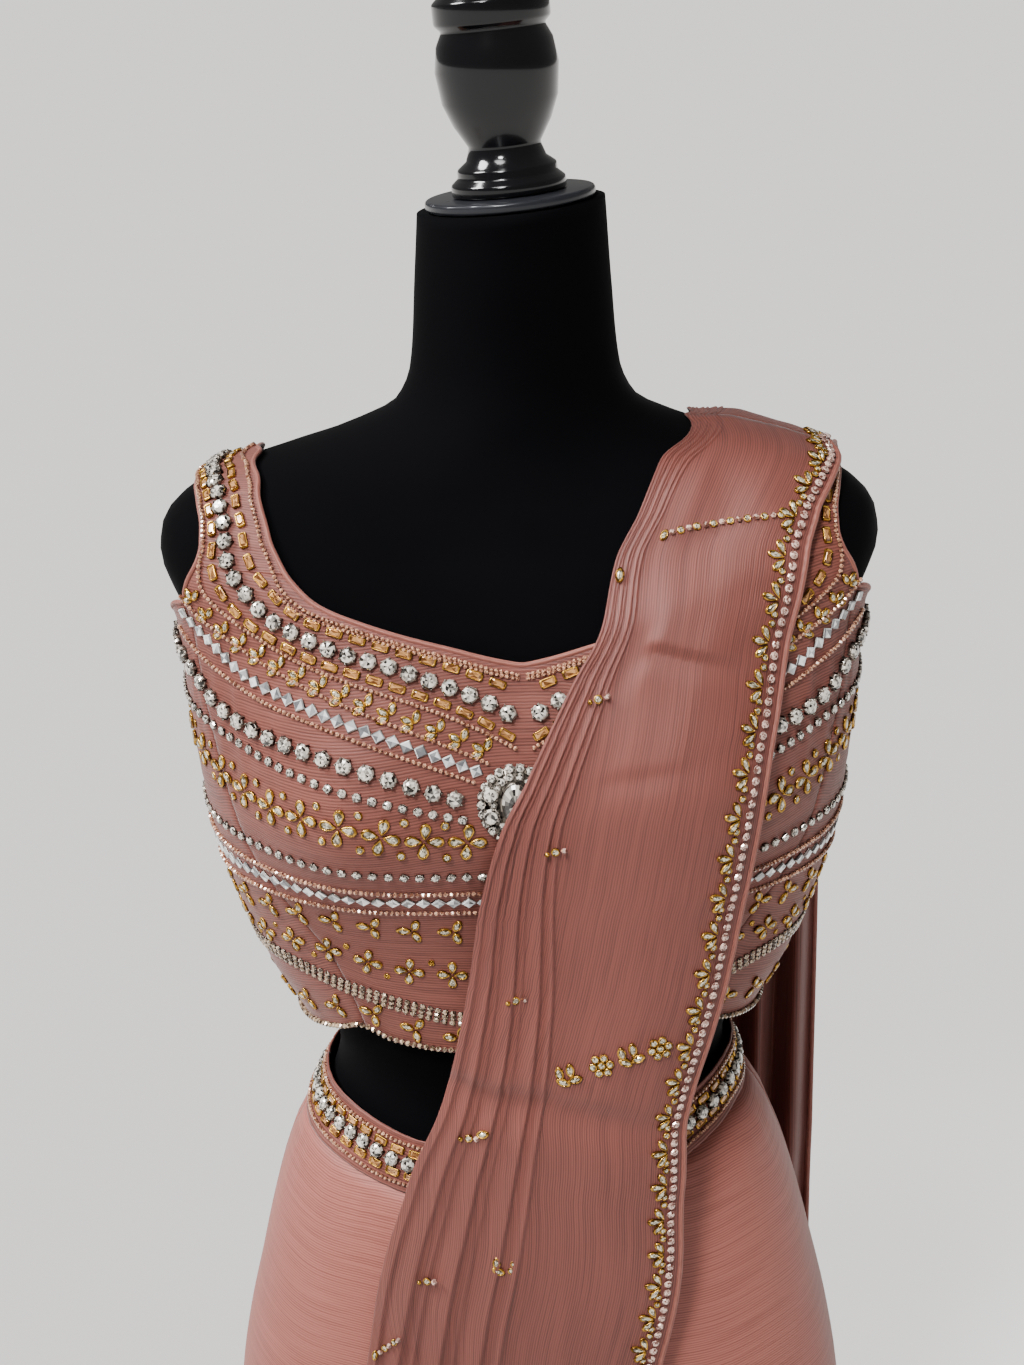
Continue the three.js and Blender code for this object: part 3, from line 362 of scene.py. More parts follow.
def add_mesh(name: str, points: Array, faces: Array | list[list[int]],
             even: bool = True) -> Piece:
    """Puts points, in millimetres, and faces into a new object at the origin.

    Args:
        name: the piece's name.
        points: one row of three for each point.
        faces: point numbers of each face.
        even: shades across the faces, so that they look like one curved surface.

    Returns:
        The new object.
    """
    mesh = bpy.data.meshes.new(name)
    corners = faces.tolist() if isinstance(faces, np.ndarray) else faces
    mesh.from_pydata((points.reshape(-1, 3) * MM).tolist(), [], corners)
    mesh.polygons.foreach_set("use_smooth", np.full(len(mesh.polygons), even))
    mesh.update()
    made = bpy.data.objects.new(name, mesh)
    bpy.context.scene.collection.objects.link(made)
    return made


def grid_faces(rows: int, columns: int, closed: bool = False) -> Array:
    """The quads of a grid of points, row after row, closed round its columns or not."""
    across = columns if closed else columns - 1
    r, c = np.meshgrid(np.arange(rows - 1), np.arange(across), indexing="ij")
    r, c = r.ravel(), c.ravel()
    after = (c + 1) % columns
    low, high = r * columns, (r + 1) * columns
    return np.stack([low + c, low + after, high + after, high + c], axis=1)


def set_uv(made: Piece, uv: Array) -> None:
    """Gives a piece a UV map from one pair of numbers, in metres, for each point."""
    mesh = made.data
    corner = np.zeros(len(mesh.loops), int)
    mesh.loops.foreach_get("vertex_index", corner)
    layer = mesh.uv_layers.new(name="UVMap")
    layer.data.foreach_set("uv", uv.reshape(-1, 2)[corner].ravel())


def lengths(points: Array, axis: int = 0) -> Array:
    """How far along a line, or along a grid's rows or columns, each point lies."""
    steps = np.linalg.norm(np.diff(points, axis=axis), axis=-1)
    total = np.cumsum(steps, axis=axis)
    start = np.zeros_like(np.take(total, [0], axis=axis))
    return np.concatenate([start, total], axis=axis)


class Grain(Enum):
    """Which way the fine crinkle of the cloth runs on a piece."""

    ROUND = "round the body"
    LENGTH = "along the piece"


def add_sheet(name: str, points: Array, grain: Grain, thick: float = 1.1) -> Piece:
    """A thin cloth with its outer face on a grid of points.

    The grid is one face of the cloth, and Solidify gives it its thickness inwards. The first
    number of its UV map runs across the crinkle and the second along it, in metres.

    Args:
        name: the piece's name.
        points: rows by columns by three, facing out.
        grain: the way the crinkle runs.
        thick: the cloth's thickness.

    Returns:
        The new object.
    """
    rows, columns = points.shape[:2]
    made = add_mesh(name, points, grid_faces(rows, columns))
    across, along = lengths(points, 1) * MM, lengths(points) * MM
    inset = across - across[:, -1:]
    pair = (along, inset) if grain is Grain.ROUND else (inset, along)
    set_uv(made, np.stack(pair, axis=-1))
    solid = made.modifiers.new("thickness", "SOLIDIFY")
    solid.thickness = thick * MM
    solid.offset = -1
    return made


def add_tube(name: str, line: Array, out: Array, radius: float, closed: bool,
             sides: int = 12) -> Piece:
    """A round cord carried along a line: each ring is a circle across the line's direction.

    Args:
        name: the piece's name.
        line: points along its middle.
        out: the outward direction at each of them.
        radius: of the cord.
        closed: joins the last ring to the first; an open cord has its ends closed.
        sides: how many points a ring has.

    Returns:
        The new object.
    """
    ahead = np.roll(line, -1, 0) - np.roll(line, 1, 0)
    if not closed:
        ahead[0], ahead[-1] = line[1] - line[0], line[-1] - line[-2]
    ahead = unit(ahead)
    aside = unit(np.cross(out, ahead))
    up = np.cross(ahead, aside)
    turn = np.linspace(0, 2 * np.pi, sides, endpoint=False)
    ring = (aside[:, None] * np.cos(turn)[:, None] + up[:, None] * np.sin(turn)[:, None])
    count = len(line)
    faces = (grid_faces(count + closed, sides, closed=True) % (count * sides)).tolist()
    if not closed:
        faces += [list(range(sides))[::-1], list(range((count - 1) * sides, count * sides))]
    made = add_mesh(name, line[:, None] + ring * radius, faces)
    u, v = np.broadcast_arrays(turn[None, :] * radius, lengths(line)[:, None])
    set_uv(made, np.stack([u, v], axis=-1) * MM)
    return made


def fans(levels: int, around: int) -> tuple[Array, Array]:
    """Triangles that close the first and the last of a stack of rings.

    Each fan turns round a point of its own. The two points follow those of the rings.

    Args:
        levels: how many rings there are.
        around: how many points each has.

    Returns:
        The triangles over the first ring and over the last one.
    """
    i = np.arange(around)
    after, top, middle = (i + 1) % around, (levels - 1) * around, levels * around
    return (np.stack([np.full(around, middle), after, i], axis=1),
            np.stack([np.full(around, middle + 1), top + i, top + after], axis=1))


def add_rings(name: str, rings: Array, ends: Array) -> Piece:
    """A closed piece from a stack of rings, with a fan round a point over each end."""
    levels, around = rings.shape[:2]
    faces = grid_faces(levels, around, closed=True).tolist()
    for fan in fans(levels, around):
        faces += fan.tolist()
    return add_mesh(name, np.concatenate([rings.reshape(-1, 3), ends]), faces)


# Finishes.


def linear(code: str) -> tuple[float, float, float, float]:
    """An sRGB hex colour as the linear colour that Blender works with."""
    parts = np.array([int(code[i: i + 2], 16) for i in (1, 3, 5)]) / 255
    low = parts / 12.92
    high = ((parts + 0.055) / 1.055) ** 2.4
    red, green, blue = np.where(parts <= 0.04045, low, high)
    return (float(red), float(green), float(blue), 1.0)


def add_node(tree: bpy.types.NodeTree, kind: str, settings: dict[str, Any] | None = None,
             inputs: dict[str | int, Any] | None = None) -> bpy.types.Node:
    """Adds a shader node with its settings, and its inputs as values or as links.

    Args:
        tree: the material's node tree.
        kind: Blender's name for the node, without its leading ShaderNode.
        settings: properties of the node.
        inputs: for each input socket, by name or number, a value or an output socket to link.

    Returns:
        The node.
    """
    node = tree.nodes.new(f"ShaderNode{kind}")
    for key, value in (settings or {}).items():
        setattr(node, key, value)
    for key, value in (inputs or {}).items():
        socket = node.inputs[key]
        if isinstance(value, bpy.types.NodeSocket):
            tree.links.new(value, socket)
        else:
            socket.default_value = value
    return node


def new_material(name: str) -> tuple[bpy.types.Material, bpy.types.NodeTree]:
    """An empty material and its node tree, with an output node."""
    material = bpy.data.materials.new(name)
    material.use_nodes = True
    material.node_tree.nodes.clear()
    add_node(material.node_tree, "OutputMaterial", {"name": "out"})
    return material, material.node_tree


def shade(tree: bpy.types.NodeTree, inputs: dict[str, Any]) -> None:
    """Ends a material in one principled shader with these inputs."""
    shader = add_node(tree, "BsdfPrincipled", inputs=inputs)
    tree.links.new(shader.outputs["BSDF"], tree.nodes["out"].inputs["Surface"])


@dataclass(frozen=True)
class CrinkledCrepe:
    """Silk crepe woven with a fine crinkle: thin uneven ridges all one way, soft in the light.

    The ridges are 1.2 to 1.5 mm apart and tens of millimetres long, and on the bias piping
    short ones. The threads themselves, about 0.3 mm, are drawn at 0.7 mm so that they show.
    """

    name: str
    light: str
    # the colour of the painted shade in the crinkle's grooves, and of the darker random mottling
    deep: str
    ridge_mm: float = 1.5
    ridge_length_mm: float = 32
    ridge_height_mm: float = 0.3
    thread_mm: float = 0.7

    def placed(self, tree: bpy.types.NodeTree, place: bpy.types.NodeSocket,
               across_mm: float, along_mm: float) -> bpy.types.NodeSocket:
        """The cloth's coordinates in steps of that many millimetres each way."""
        scale = (1000 / across_mm, 1000 / along_mm, 1)
        turned = add_node(tree, "Mapping", inputs={"Vector": place, "Scale": scale})
        return turned.outputs["Vector"]

    def make(self) -> bpy.types.Material:
        """Builds the cloth: painted shade darkens the colour in the grooves, slow random mottling
        darkens it a little more, and both patterns are bumps.

        The ridges are uneven noise with a third of even, wandering lines mixed in.
        """
        material, tree = new_material(self.name)
        place = add_node(tree, "UVMap", {"uv_map": "UVMap"}).outputs["UV"]

        def stretched(across_mm: float, along_mm: float, detail: float) -> bpy.types.NodeSocket:
            """Noise that is that coarse across and along the crinkle."""
            noise = add_node(tree, "TexNoise", inputs={
                "Vector": self.placed(tree, place, across_mm, along_mm), "Scale": 1.0,
                "Detail": detail, "Roughness": 0.55})
            return noise.outputs["Fac"]

        ridges = stretched(self.ridge_mm, self.ridge_length_mm, 2.0)
        lines = add_node(tree, "TexWave", inputs={
            "Vector": self.placed(tree, place, self.ridge_mm, self.ridge_length_mm),
            "Scale": 0.314, "Distortion": 2.2, "Detail": 2.0, "Detail Scale": 0.7})
        ridges = add_node(tree, "Mix", inputs={
            0: 0.32, 2: ridges, 3: lines.outputs["Fac"]}).outputs[0]
        threads = stretched(self.thread_mm, self.thread_mm * 3, 1.0)
        clouds = stretched(60, 140, 1.0)
        # painted shade: where the ridge noise is low, in the grooves, the colour goes towards the
        # deep one; the slow clouds add random mottling
        grooves = add_node(tree, "MapRange", inputs={
            "Value": ridges, "From Min": 0.3, "From Max": 0.62})
        groove_shade_and_mottle = add_node(tree, "Math", {"operation": "MULTIPLY_ADD"}, {
            0: clouds, 1: 0.14, 2: grooves.outputs["Result"]})
        share = add_node(tree, "MapRange", inputs={
            "Value": groove_shade_and_mottle.outputs["Value"], "From Min": 0.0, "From Max": 1.1})
        colour = add_node(tree, "Mix", {"data_type": "RGBA"}, {
            0: share.outputs["Result"], 6: linear(self.deep), 7: linear(self.light)})
        rough = add_node(tree, "MapRange", inputs={
            "Value": threads, "To Min": 0.5, "To Max": 0.72})
        fine = add_node(tree, "Bump", inputs={
            "Height": threads, "Strength": 0.25, "Distance": 0.15 * MM})
        bump = add_node(tree, "Bump", inputs={
            "Height": ridges, "Strength": 0.8, "Distance": self.ridge_height_mm * MM,
            "Normal": fine.outputs["Normal"]})
        shade(tree, {
            "Base Color": colour.outputs[2], "Roughness": rough.outputs["Result"],
            "Normal": bump.outputs["Normal"], "Sheen Weight": 0.1, "Sheen Roughness": 0.4,
            "Specular IOR Level": 0.4})
        return material


@dataclass(frozen=True)
class Velvet:
    """Cotton velvet pulled over the form: a deep black pile with a faint lighter edge."""

    name: str = "cotton_velvet_black"
    colour: str = "#010102"
    lighter: str = "#050507"
    nap_mm: float = 1.2

    def make(self) -> bpy.types.Material:
        """Builds the pile: fine noise for the nap and a slow one where it was brushed."""
        material, tree = new_material(self.name)
        place = add_node(tree, "TexCoord").outputs["Object"]
        nap = add_node(tree, "TexNoise", inputs={
            "Vector": place, "Scale": 1000 / self.nap_mm, "Detail": 2.0})
        brushed = add_node(tree, "TexNoise", inputs={
            "Vector": place, "Scale": 14.0, "Detail": 3.0})
        colour = add_node(tree, "Mix", {"data_type": "RGBA"}, {
            0: brushed.outputs["Fac"], 6: linear(self.colour), 7: linear(self.lighter)})
        bump = add_node(tree, "Bump", inputs={
            "Height": nap.outputs["Fac"], "Strength": 0.3, "Distance": 0.2 * MM})
        shade(tree, {
            "Base Color": colour.outputs[2], "Roughness": 0.95, "Normal": bump.outputs["Normal"],
            "Specular IOR Level": 0.05, "Sheen Weight": 0.02, "Sheen Roughness": 0.3})
        return material


@dataclass(frozen=True)
class Coated:
    """A hard surface with a clear coat or none: lacquered wood, satin-painted steel."""

    name: str
    colour: str
    lighter: str
    rough: float
    metal: float
    coat: float
    grain_mm: float = 30

    def make(self) -> bpy.types.Material:
        """Builds it: slow colour and roughness changes under one even coat."""
        material, tree = new_material(self.name)
        place = add_node(tree, "TexCoord").outputs["Object"]
        slow = add_node(tree, "TexNoise", inputs={
            "Vector": place, "Scale": 1000 / self.grain_mm, "Detail": 4.0})
        colour = add_node(tree, "Mix", {"data_type": "RGBA"}, {
            0: slow.outputs["Fac"], 6: linear(self.colour), 7: linear(self.lighter)})
        rough = add_node(tree, "MapRange", inputs={
            "Value": slow.outputs["Fac"], "To Min": self.rough * 0.7, "To Max": self.rough * 1.3})
        shade(tree, {
            "Base Color": colour.outputs[2], "Roughness": rough.outputs["Result"],
            "Metallic": self.metal, "Coat Weight": self.coat, "Coat Roughness": 0.06,
            "Specular IOR Level": 0.2})
        return material


@dataclass(frozen=True)
class Trimming:
    """A stone or a setting: its facets differ from each other by painted glints and painted dark
    reflections, as cut ones catch the light.
    """

    name: str
    dark: str
    bright: str
    rough: float
    metal: float
    coat: float = 0.0

    def make(self) -> bpy.types.Material:
        """Builds it: each facet's painted glint, set in the mesh, mixes the two colours."""
        material, tree = new_material(self.name)
        # painted reflections: each facet's share between the dark and the bright colour stands in
        # for its glint or dark reflection; both colours keep the finish's own tint
        tone = add_node(tree, "Attribute", {"attribute_name": "tone"}).outputs["Fac"]
        colour = add_node(tree, "Mix", {"data_type": "RGBA"}, {
            0: tone, 6: linear(self.dark), 7: linear(self.bright)})
        rough = add_node(tree, "MapRange", inputs={
            "Value": tone, "To Min": self.rough * 0.8, "To Max": self.rough * 1.3})
        shade(tree, {
            "Base Color": colour.outputs[2], "Roughness": rough.outputs["Result"],
            "Metallic": self.metal, "Coat Weight": self.coat, "Coat Roughness": 0.04})
        return material


class Trim(Enum):
    """The kinds of stone, bead and setting that are sewn on."""

    # Each finish's two colours are the ends of its painted facet glints and dark reflections, over
    # its own tint; the mirror's white is a painted reflection.
    GOLD = Trimming("antique_gold_bezel", "#5f3c0d", "#d2a142", 0.24, 0.85)
    SILVER = Trimming("silver_claw_setting", "#2c2522", "#a0968a", 0.3, 0.85)
    CRYSTAL = Trimming("foiled_cut_crystal", "#171412", "#efe6d9", 0.07, 0.2, 1.0)
    KUNDAN = Trimming("foiled_leaf_stone", "#463b26", "#e0d6bc", 0.08, 0.2, 1.0)
    AMBER = Trimming("amber_foiled_glass", "#603715", "#dc9f62", 0.09, 0.3, 1.0)
    CHAMPAGNE = Trimming("champagne_glass_bead", "#704331", "#dca787", 0.12, 0.1, 1.0)
    PEACH = Trimming("peach_cut_crystal", "#5f342a", "#e8c2b2", 0.08, 0.15, 1.0)
    MIRROR = Trimming("square_mirror", "#6f7073", "#ffffff", 0.05, 0.35, 1.0)
    SMOKY = Trimming("smoky_glass_bead", "#3a281c", "#cdb192", 0.1, 0.3, 1.0)


@dataclass
class Workbox:
    """The materials of the whole piece, each made once, when it is first used."""

    made: dict[str, bpy.types.Material] = field(default_factory=dict)

    def get(self, finish: CrinkledCrepe | Velvet | Coated | Trimming) -> bpy.types.Material:
        """The material of a finish."""
        if finish.name not in self.made:
            self.made[finish.name] = finish.make()
        return self.made[finish.name]


BLOUSE_CREPE = CrinkledCrepe("crinkled_silk_crepe_blouse", "#7b443a", "#52271f")
SKIRT_CREPE = CrinkledCrepe("crinkled_silk_crepe_skirt", "#a05d52", "#783f36", 1.4, 60, 0.2)
DRAPE_CREPE = CrinkledCrepe("crinkled_silk_crepe_drape", "#774037", "#4e2721", 1.2, 70, 0.24)
PIPING_CREPE = CrinkledCrepe("crepe_bias_piping", "#8f5549", "#713f35", 1.2, 6, 0.12)
LACQUER = Coated("lacquered_turned_wood", "#060608", "#0b0b0e", 0.14, 0.0, 0.45)
STEEL = Coated("satin_painted_steel", "#1d1e22", "#292a2f", 0.3, 0.2, 0.3)


def settle(made: Piece, material: bpy.types.Material, slot: str,
           *nodes: str) -> Piece:
    """Gives a piece its material and body, and hides the solids it stands for.

    Args:
        made: the piece.
        material: what it is made of.
        slot: not used.
        nodes: the solids that it stands for, if any.

    Returns:
        The piece.
    """
    made.data.materials.clear()
    made.data.materials.append(material)
    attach(made, "root")
    if nodes:
        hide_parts(*nodes)
    log.info("%s: %d faces", made.name, len(made.data.polygons))
    return made


# Stones and beads.


@dataclass(frozen=True)
class Shape:
    """One small piece: points, triangles, and which triangles share a facet."""

    points: Array
    faces: Array
    facets: Array

    def joined(self, other: Shape) -> Shape:
        """Both shapes as one."""
        return Shape(
            np.concatenate([self.points, other.points]),
            np.concatenate([self.faces, other.faces + len(self.points)]),
            np.concatenate([self.facets, other.facets + self.facets.max() + 1]),
        )

    def turned(self, degrees: float, reach: float = 0.0, lift: float = 0.0) -> Shape:
        """The shape moved out by reach, turned round the middle, and lifted."""
        turn = np.radians(degrees)
        x, y, z = (self.points + [reach, 0, lift]).T
        points = np.stack([x * np.cos(turn) - y * np.sin(turn),
                           x * np.sin(turn) + y * np.cos(turn), z], axis=1)
        return Shape(points, self.faces, self.facets)

    def moved(self, x: float, y: float) -> Shape:
        """The shape moved along and across."""
        return Shape(self.points + [x, y, 0], self.faces, self.facets)


def turned(pair: Sequence[Shape], degrees: float, reach: float = 0.0,
           lift: float = 0.0) -> list[Shape]:
    """A stone and its setting, both moved out, turned and lifted."""
    return [shape.turned(degrees, reach, lift) for shape in pair]


def round_outline(radius: float, sides: int) -> Array:
    """A circle of points."""
    turn = np.linspace(0, 2 * np.pi, sides, endpoint=False)
    return radius * np.stack([np.cos(turn), np.sin(turn)], axis=1)


def leaf_outline(length: float, width: float, sides: int = 10, point: float = 0.35) -> Array:
    """A leaf: an ellipse whose width is pinched towards its ends by a power of the sine."""
    turn = np.linspace(0, 2 * np.pi, sides, endpoint=False)
    rise = np.abs(np.sin(turn)) ** point
    return np.stack([np.cos(turn) * length / 2, np.sin(turn) * rise * width / 2], axis=1)


def drop_outline(length: float, width: float, sides: int = 10) -> Array:
    """A teardrop with its point at the near end: a leaf that is wider at the far end."""
    outline = leaf_outline(length, width, sides, 0.15)
    share = outline[:, 0] / (length / 2)
    outline[:, 1] *= 0.75 + 0.35 * share - 0.1 * share**2
    return outline


def block_outline(length: float, width: float, cut: float) -> Array:
    """A rectangle with its corners cut off."""
    x, y = length / 2, width / 2
    return np.array([(x - cut, -y), (x, -y + cut), (x, y - cut), (x - cut, y), (-x + cut, y),
                     (-x, y - cut), (-x, -y + cut), (-x + cut, -y)])


def stacked(outline: Array, rows: Path) -> Shape:
    """A closed solid of copies of one outline, scaled and lifted, with a fan over each end.

    Args:
        outline: points of the outline, turning to the left.
        rows: scale and height of each copy, from the bottom up.

    Returns:
        The shape, whose side facets are pairs of triangles.
    """
    n, levels = len(outline), len(rows)
    scale, height = np.array(rows).T
    rings = np.concatenate([
        np.broadcast_to(outline, (levels, n, 2)) * scale[:, None, None],
        np.broadcast_to(height[:, None, None], (levels, n, 1))], axis=2)
    ends = np.array([[0, 0, height[0]], [0, 0, height[-1]]])
    points = np.concatenate([rings.reshape(-1, 3), ends])
    quads = grid_faces(levels, n, closed=True)
    sides = np.concatenate([quads[:, [0, 1, 2]], quads[:, [0, 2, 3]]])
    facets = np.concatenate([np.tile(np.arange(len(quads)), 2), len(quads) + np.arange(2 * n)])
    return Shape(points, np.concatenate([sides, *fans(levels, n)]), facets)


def rim(outline: Array, inner: float, outer: float, height: float) -> Shape:
    """A raised band round an outline: a section of five points carried round it.

    Args:
        outline: the outline it follows.
        inner: its inner edge as a scale of the outline.
        outer: its outer edge as a scale of the outline.
        height: how far it stands up.

    Returns:
        The ring, closed both ways.
    """
    section = np.array([(outer, 0), (outer, height * 0.6), ((inner + outer) / 2, height),
                        (inner, height * 0.7), (inner, 0)])
    n, m = len(outline), len(section)
    rings = np.concatenate([
        outline[:, None, :] * section[None, :, :1],
        np.broadcast_to(section[None, :, 1:], (n, m, 1))], axis=2)
    i, k = np.meshgrid(np.arange(n), np.arange(m), indexing="ij")
    i, k = i.ravel(), k.ravel()
    a, b = i * m + k, ((i + 1) % n) * m + k
    c, d = ((i + 1) % n) * m + (k + 1) % m, i * m + (k + 1) % m
    faces = np.concatenate([np.stack([a, b, c], 1), np.stack([a, c, d], 1)])
    return Shape(rings.reshape(-1, 3), faces, np.tile(np.arange(len(a)), 2))


def bezelled(outline: Array, rows: Path, inner: float,
             height: float) -> tuple[Shape, Shape]:
    """A stone, and its bezel from that share of the outline outwards, both on one outline."""
    return stacked(outline, rows), rim(outline, inner, 1.0, height)


@dataclass(frozen=True)
class Frames:
    """Places on a surface, with the directions along the row, across it and out."""

    place: Array
    along: Array
    across: Array
    out: Array

    def part(self, chosen: Array) -> Frames:
        """Some of the places."""
        return Frames(self.place[chosen], self.along[chosen], self.across[chosen],
                      self.out[chosen])


def trace(surface: Surface, path: Path, pitch: float, start: float = 0.5) -> Frames:
    """Places at an even pitch along a path that is drawn on a surface.

    The path is a smooth curve through its corners. The surface is read along it, and the places
    are spaced by the true length there. Out is the cross of the surface's two slopes.

    Args:
        surface: the points of a surface from its two coordinates.
        path: corners in those coordinates.
        pitch: the distance between neighbours.
        start: the share of a pitch before the first one.

    Returns:
        The places.
    """
    corners = np.array(path, float)
    steps = lengths(corners * [MM_PER_DEGREE, 1])
    fine = np.linspace(0, steps[-1], 60 * len(corners))
    first, second = (Curve(tuple(zip(steps, column, strict=True))).at(fine)
                     for column in corners.T)
    points = surface(first, second)
    reach = lengths(points)
    count = max(int(round(reach[-1] / pitch)), 1)
    target = (np.arange(count) + start) * reach[-1] / count

    def spots(shift: float = 0.0) -> tuple[Array, Array]:
        """The places' two coordinates, or those a little further along the path."""
        place = np.clip(target + shift, 0, reach[-1])
        return np.interp(place, reach, first), np.interp(place, reach, second)

    along = unit(surface(*spots(0.8)) - surface(*spots(-0.8)))
    out = normal_of(surface, *spots())
    across = unit(np.cross(out, along))
    return Frames(surface(*spots()), np.cross(across, out), across, out)


@dataclass
class Tray:
    """Collects the stones of one part of the dress, to be joined by kind."""

    name: str
    seed: int
    parts: dict[Trim, list[tuple[Array, Array, Array]]] = field(default_factory=dict)

    def __post_init__(self) -> None:
        """Starts the tray's own row of random numbers, the same in every run."""
        self.random = np.random.default_rng(self.seed)

    def lay(self, trim: Trim, shape: Shape, frames: Frames, loose: float = 0.0) -> None:
        """Sets a copy of a shape at each place.

        Args:
            trim: what it is made of.
            shape: the small piece, in its own along, across and out directions.
            frames: where the copies go.
            loose: how unevenly they are sewn, in degrees of turn.
        """
        count = len(frames.place)
        turn = np.radians(self.random.normal(0, 1, count) * loose)
        cos, sin = np.cos(turn)[:, None], np.sin(turn)[:, None]
        x, y, z = shape.points.T
        local_x, local_y = x * cos - y * sin, x * sin + y * cos
        points = (frames.place[:, None]
                  + local_x[..., None] * frames.along[:, None]
                  + local_y[..., None] * frames.across[:, None]
                  + z[None, :, None] * frames.out[:, None])
        faces = shape.faces[None] + np.arange(count)[:, None, None] * len(shape.points)
        # painted glints: a random share between the dark and the bright colour for each facet,
        # mostly near one end, in place of flashes and dark reflections
        tone = self.random.beta(0.4, 0.4, (count, shape.facets.max() + 1))[:, shape.facets]
        self.parts.setdefault(trim, []).append(
            (points.reshape(-1, 3), faces.reshape(-1, 3), tone.ravel()))

    def lay_set(self, pair: Sequence[Shape], frames: Frames, stone: Trim = Trim.KUNDAN,
                setting: Trim = Trim.GOLD, loose: float = 0.0) -> None:
        """Sets a stone, and then what holds it, at each place."""
        for trim, shape in zip((stone, setting), pair, strict=True):
            self.lay(trim, shape, frames, loose)

    def lay_claw_set(self, pair: Sequence[Shape], frames: Frames, loose: float = 0.0) -> None:
        """Sets a crystal and its silver claws at each place."""
        self.lay_set(pair, frames, Trim.CRYSTAL, Trim.SILVER, loose)

    def join(self, box: Workbox) -> list[Piece]:
        """Makes one mesh of each kind of stone and setting.

        Args:
            box: the materials.

        Returns:
            The meshes, in the order in which their kinds were first laid.
        """
        made = []
        for trim, pieces in self.parts.items():
            before = np.cumsum([0] + [len(p[0]) for p in pieces[:-1]])
            points = np.concatenate([p[0] for p in pieces])
            faces = np.concatenate([p[1] + n for p, n in zip(pieces, before, strict=True)])
            tone = np.concatenate([p[2] for p in pieces])
            even = trim in (Trim.GOLD, Trim.SILVER)
            piece = add_mesh(f"{self.name}_{trim.value.name}", points, faces, even)
            # each facet's painted glint, read by its material
            layer = piece.data.attributes.new("tone", "FLOAT", "FACE")
            layer.data.foreach_set("value", tone.astype(np.float32))
            slot = "rose_cloth" if trim in (Trim.GOLD, Trim.SILVER) else "clear_stone"
            made.append(settle(piece, box.get(trim.value), slot))
        return made


@dataclass(frozen=True)
class Stones:
    """The small pieces that are sewn on, at their real sizes."""

    bead_radius: float = 1.15
    large_radius: float = 3.85
    small_radius: float = 2.15
    tiny_radius: float = 1.8

    def bead(self, radius: float) -> Shape:
        """A faceted glass bead."""
        rows = ((0.55, 0.0), (1.0, radius * 0.85), (0.55, radius * 1.7))
        return stacked(round_outline(radius, 6), rows)

    def cut_stone(self, radius: float, sides: int = 10) -> Shape:
        """A round stone with a ring of crown facets and a flat table."""
        rows = ((0.8, 0.2 * radius), (1.0, 0.45 * radius), (0.97, 0.55 * radius),
                (0.78, 0.82 * radius), (0.5, 0.95 * radius))
        if radius < self.tiny_radius:
            rows = (rows[0], rows[2], rows[4])
        return stacked(round_outline(radius, sides), rows)

    def claws(self, radius: float, count: int = 4) -> Shape:
        """A low cup with claws that bend over the stone's edge."""
        cup = stacked(round_outline(radius * 0.98, 8), ((0.9, 0.0), (1.04, 0.4 * radius)))
        claw = stacked(round_outline(radius * 0.19, 4),
                       ((1.0, 0.0), (1.0, 0.62 * radius), (0.5, 0.85 * radius)))
        for k in range(count):
            cup = cup.joined(claw.turned(45 + k * 360 / count, radius * 0.97))
        return cup

    def claw_set(self, radius: float, sides: int, count: int) -> tuple[Shape, Shape]:
        """A cut stone and its claws."""
        return self.cut_stone(radius, sides), self.claws(radius, count)

    def leaf(self, length: float, width: float) -> tuple[Shape, Shape]:
        """A pointed stone and its bezel."""
        return bezelled(leaf_outline(length, width, 12, 0.25),
                        ((0.6, 0.2), (0.62, 0.9), (0.34, 1.4)), 0.6, 1.35)

    def drop(self, length: float, width: float) -> tuple[Shape, Shape]:
        """A teardrop stone and its bezel."""
        return bezelled(drop_outline(length, width),
                        ((0.68, 0.2), (0.7, 0.9), (0.4, 1.45)), 0.67, 1.4)

    def baguette(self) -> tuple[Shape, Shape]:
        """A step-cut block of glass and its bezel."""
        return bezelled(block_outline(8.0, 4.0, 0.7),
                        ((0.76, 0.2), (0.78, 1.0), (0.5, 1.5)), 0.74, 1.7)

    def dot(self, radius: float) -> tuple[Shape, Shape]:
        """A small round stone and its bezel."""
        return bezelled(round_outline(radius, 8),
                        ((0.7, 0.2), (0.72, 0.9), (0.4, 1.25)), 0.64, 1.3)

    def mirror(self, half: float) -> tuple[Shape, Shape]:
        """A square mirror set on its point, with a bevelled edge, and its backing."""
        outline = round_outline(half * np.sqrt(2), 4)
        glass = stacked(outline, ((0.98, 0.3), (1.0, 0.9), (0.8, 1.4)))
        return glass, stacked(outline, ((1.05, 0.0), (1.05, 0.4)))


STONES = Stones()


class Motif(Enum):
    """What a row of embroidery repeats."""

    BEADS = "a string of beads"
    SMOKY_BEADS = "a string of smoky beads"
    BAGUETTES = "oblong stones end to end"
    LARGE = "large claw-set crystals"
    SMALL = "small crystals"
    MIRRORS = "small square mirrors on their points"
    TRIOS = "sprigs of three leaves, one after another"
    SPRIGS = "single sprigs of three leaves"
    FLOWERS = "flowers of four petals with dots between"
    SMALL_FLOWERS = "smaller flowers with dots between"
    CUPS = "crystals in touching cups"


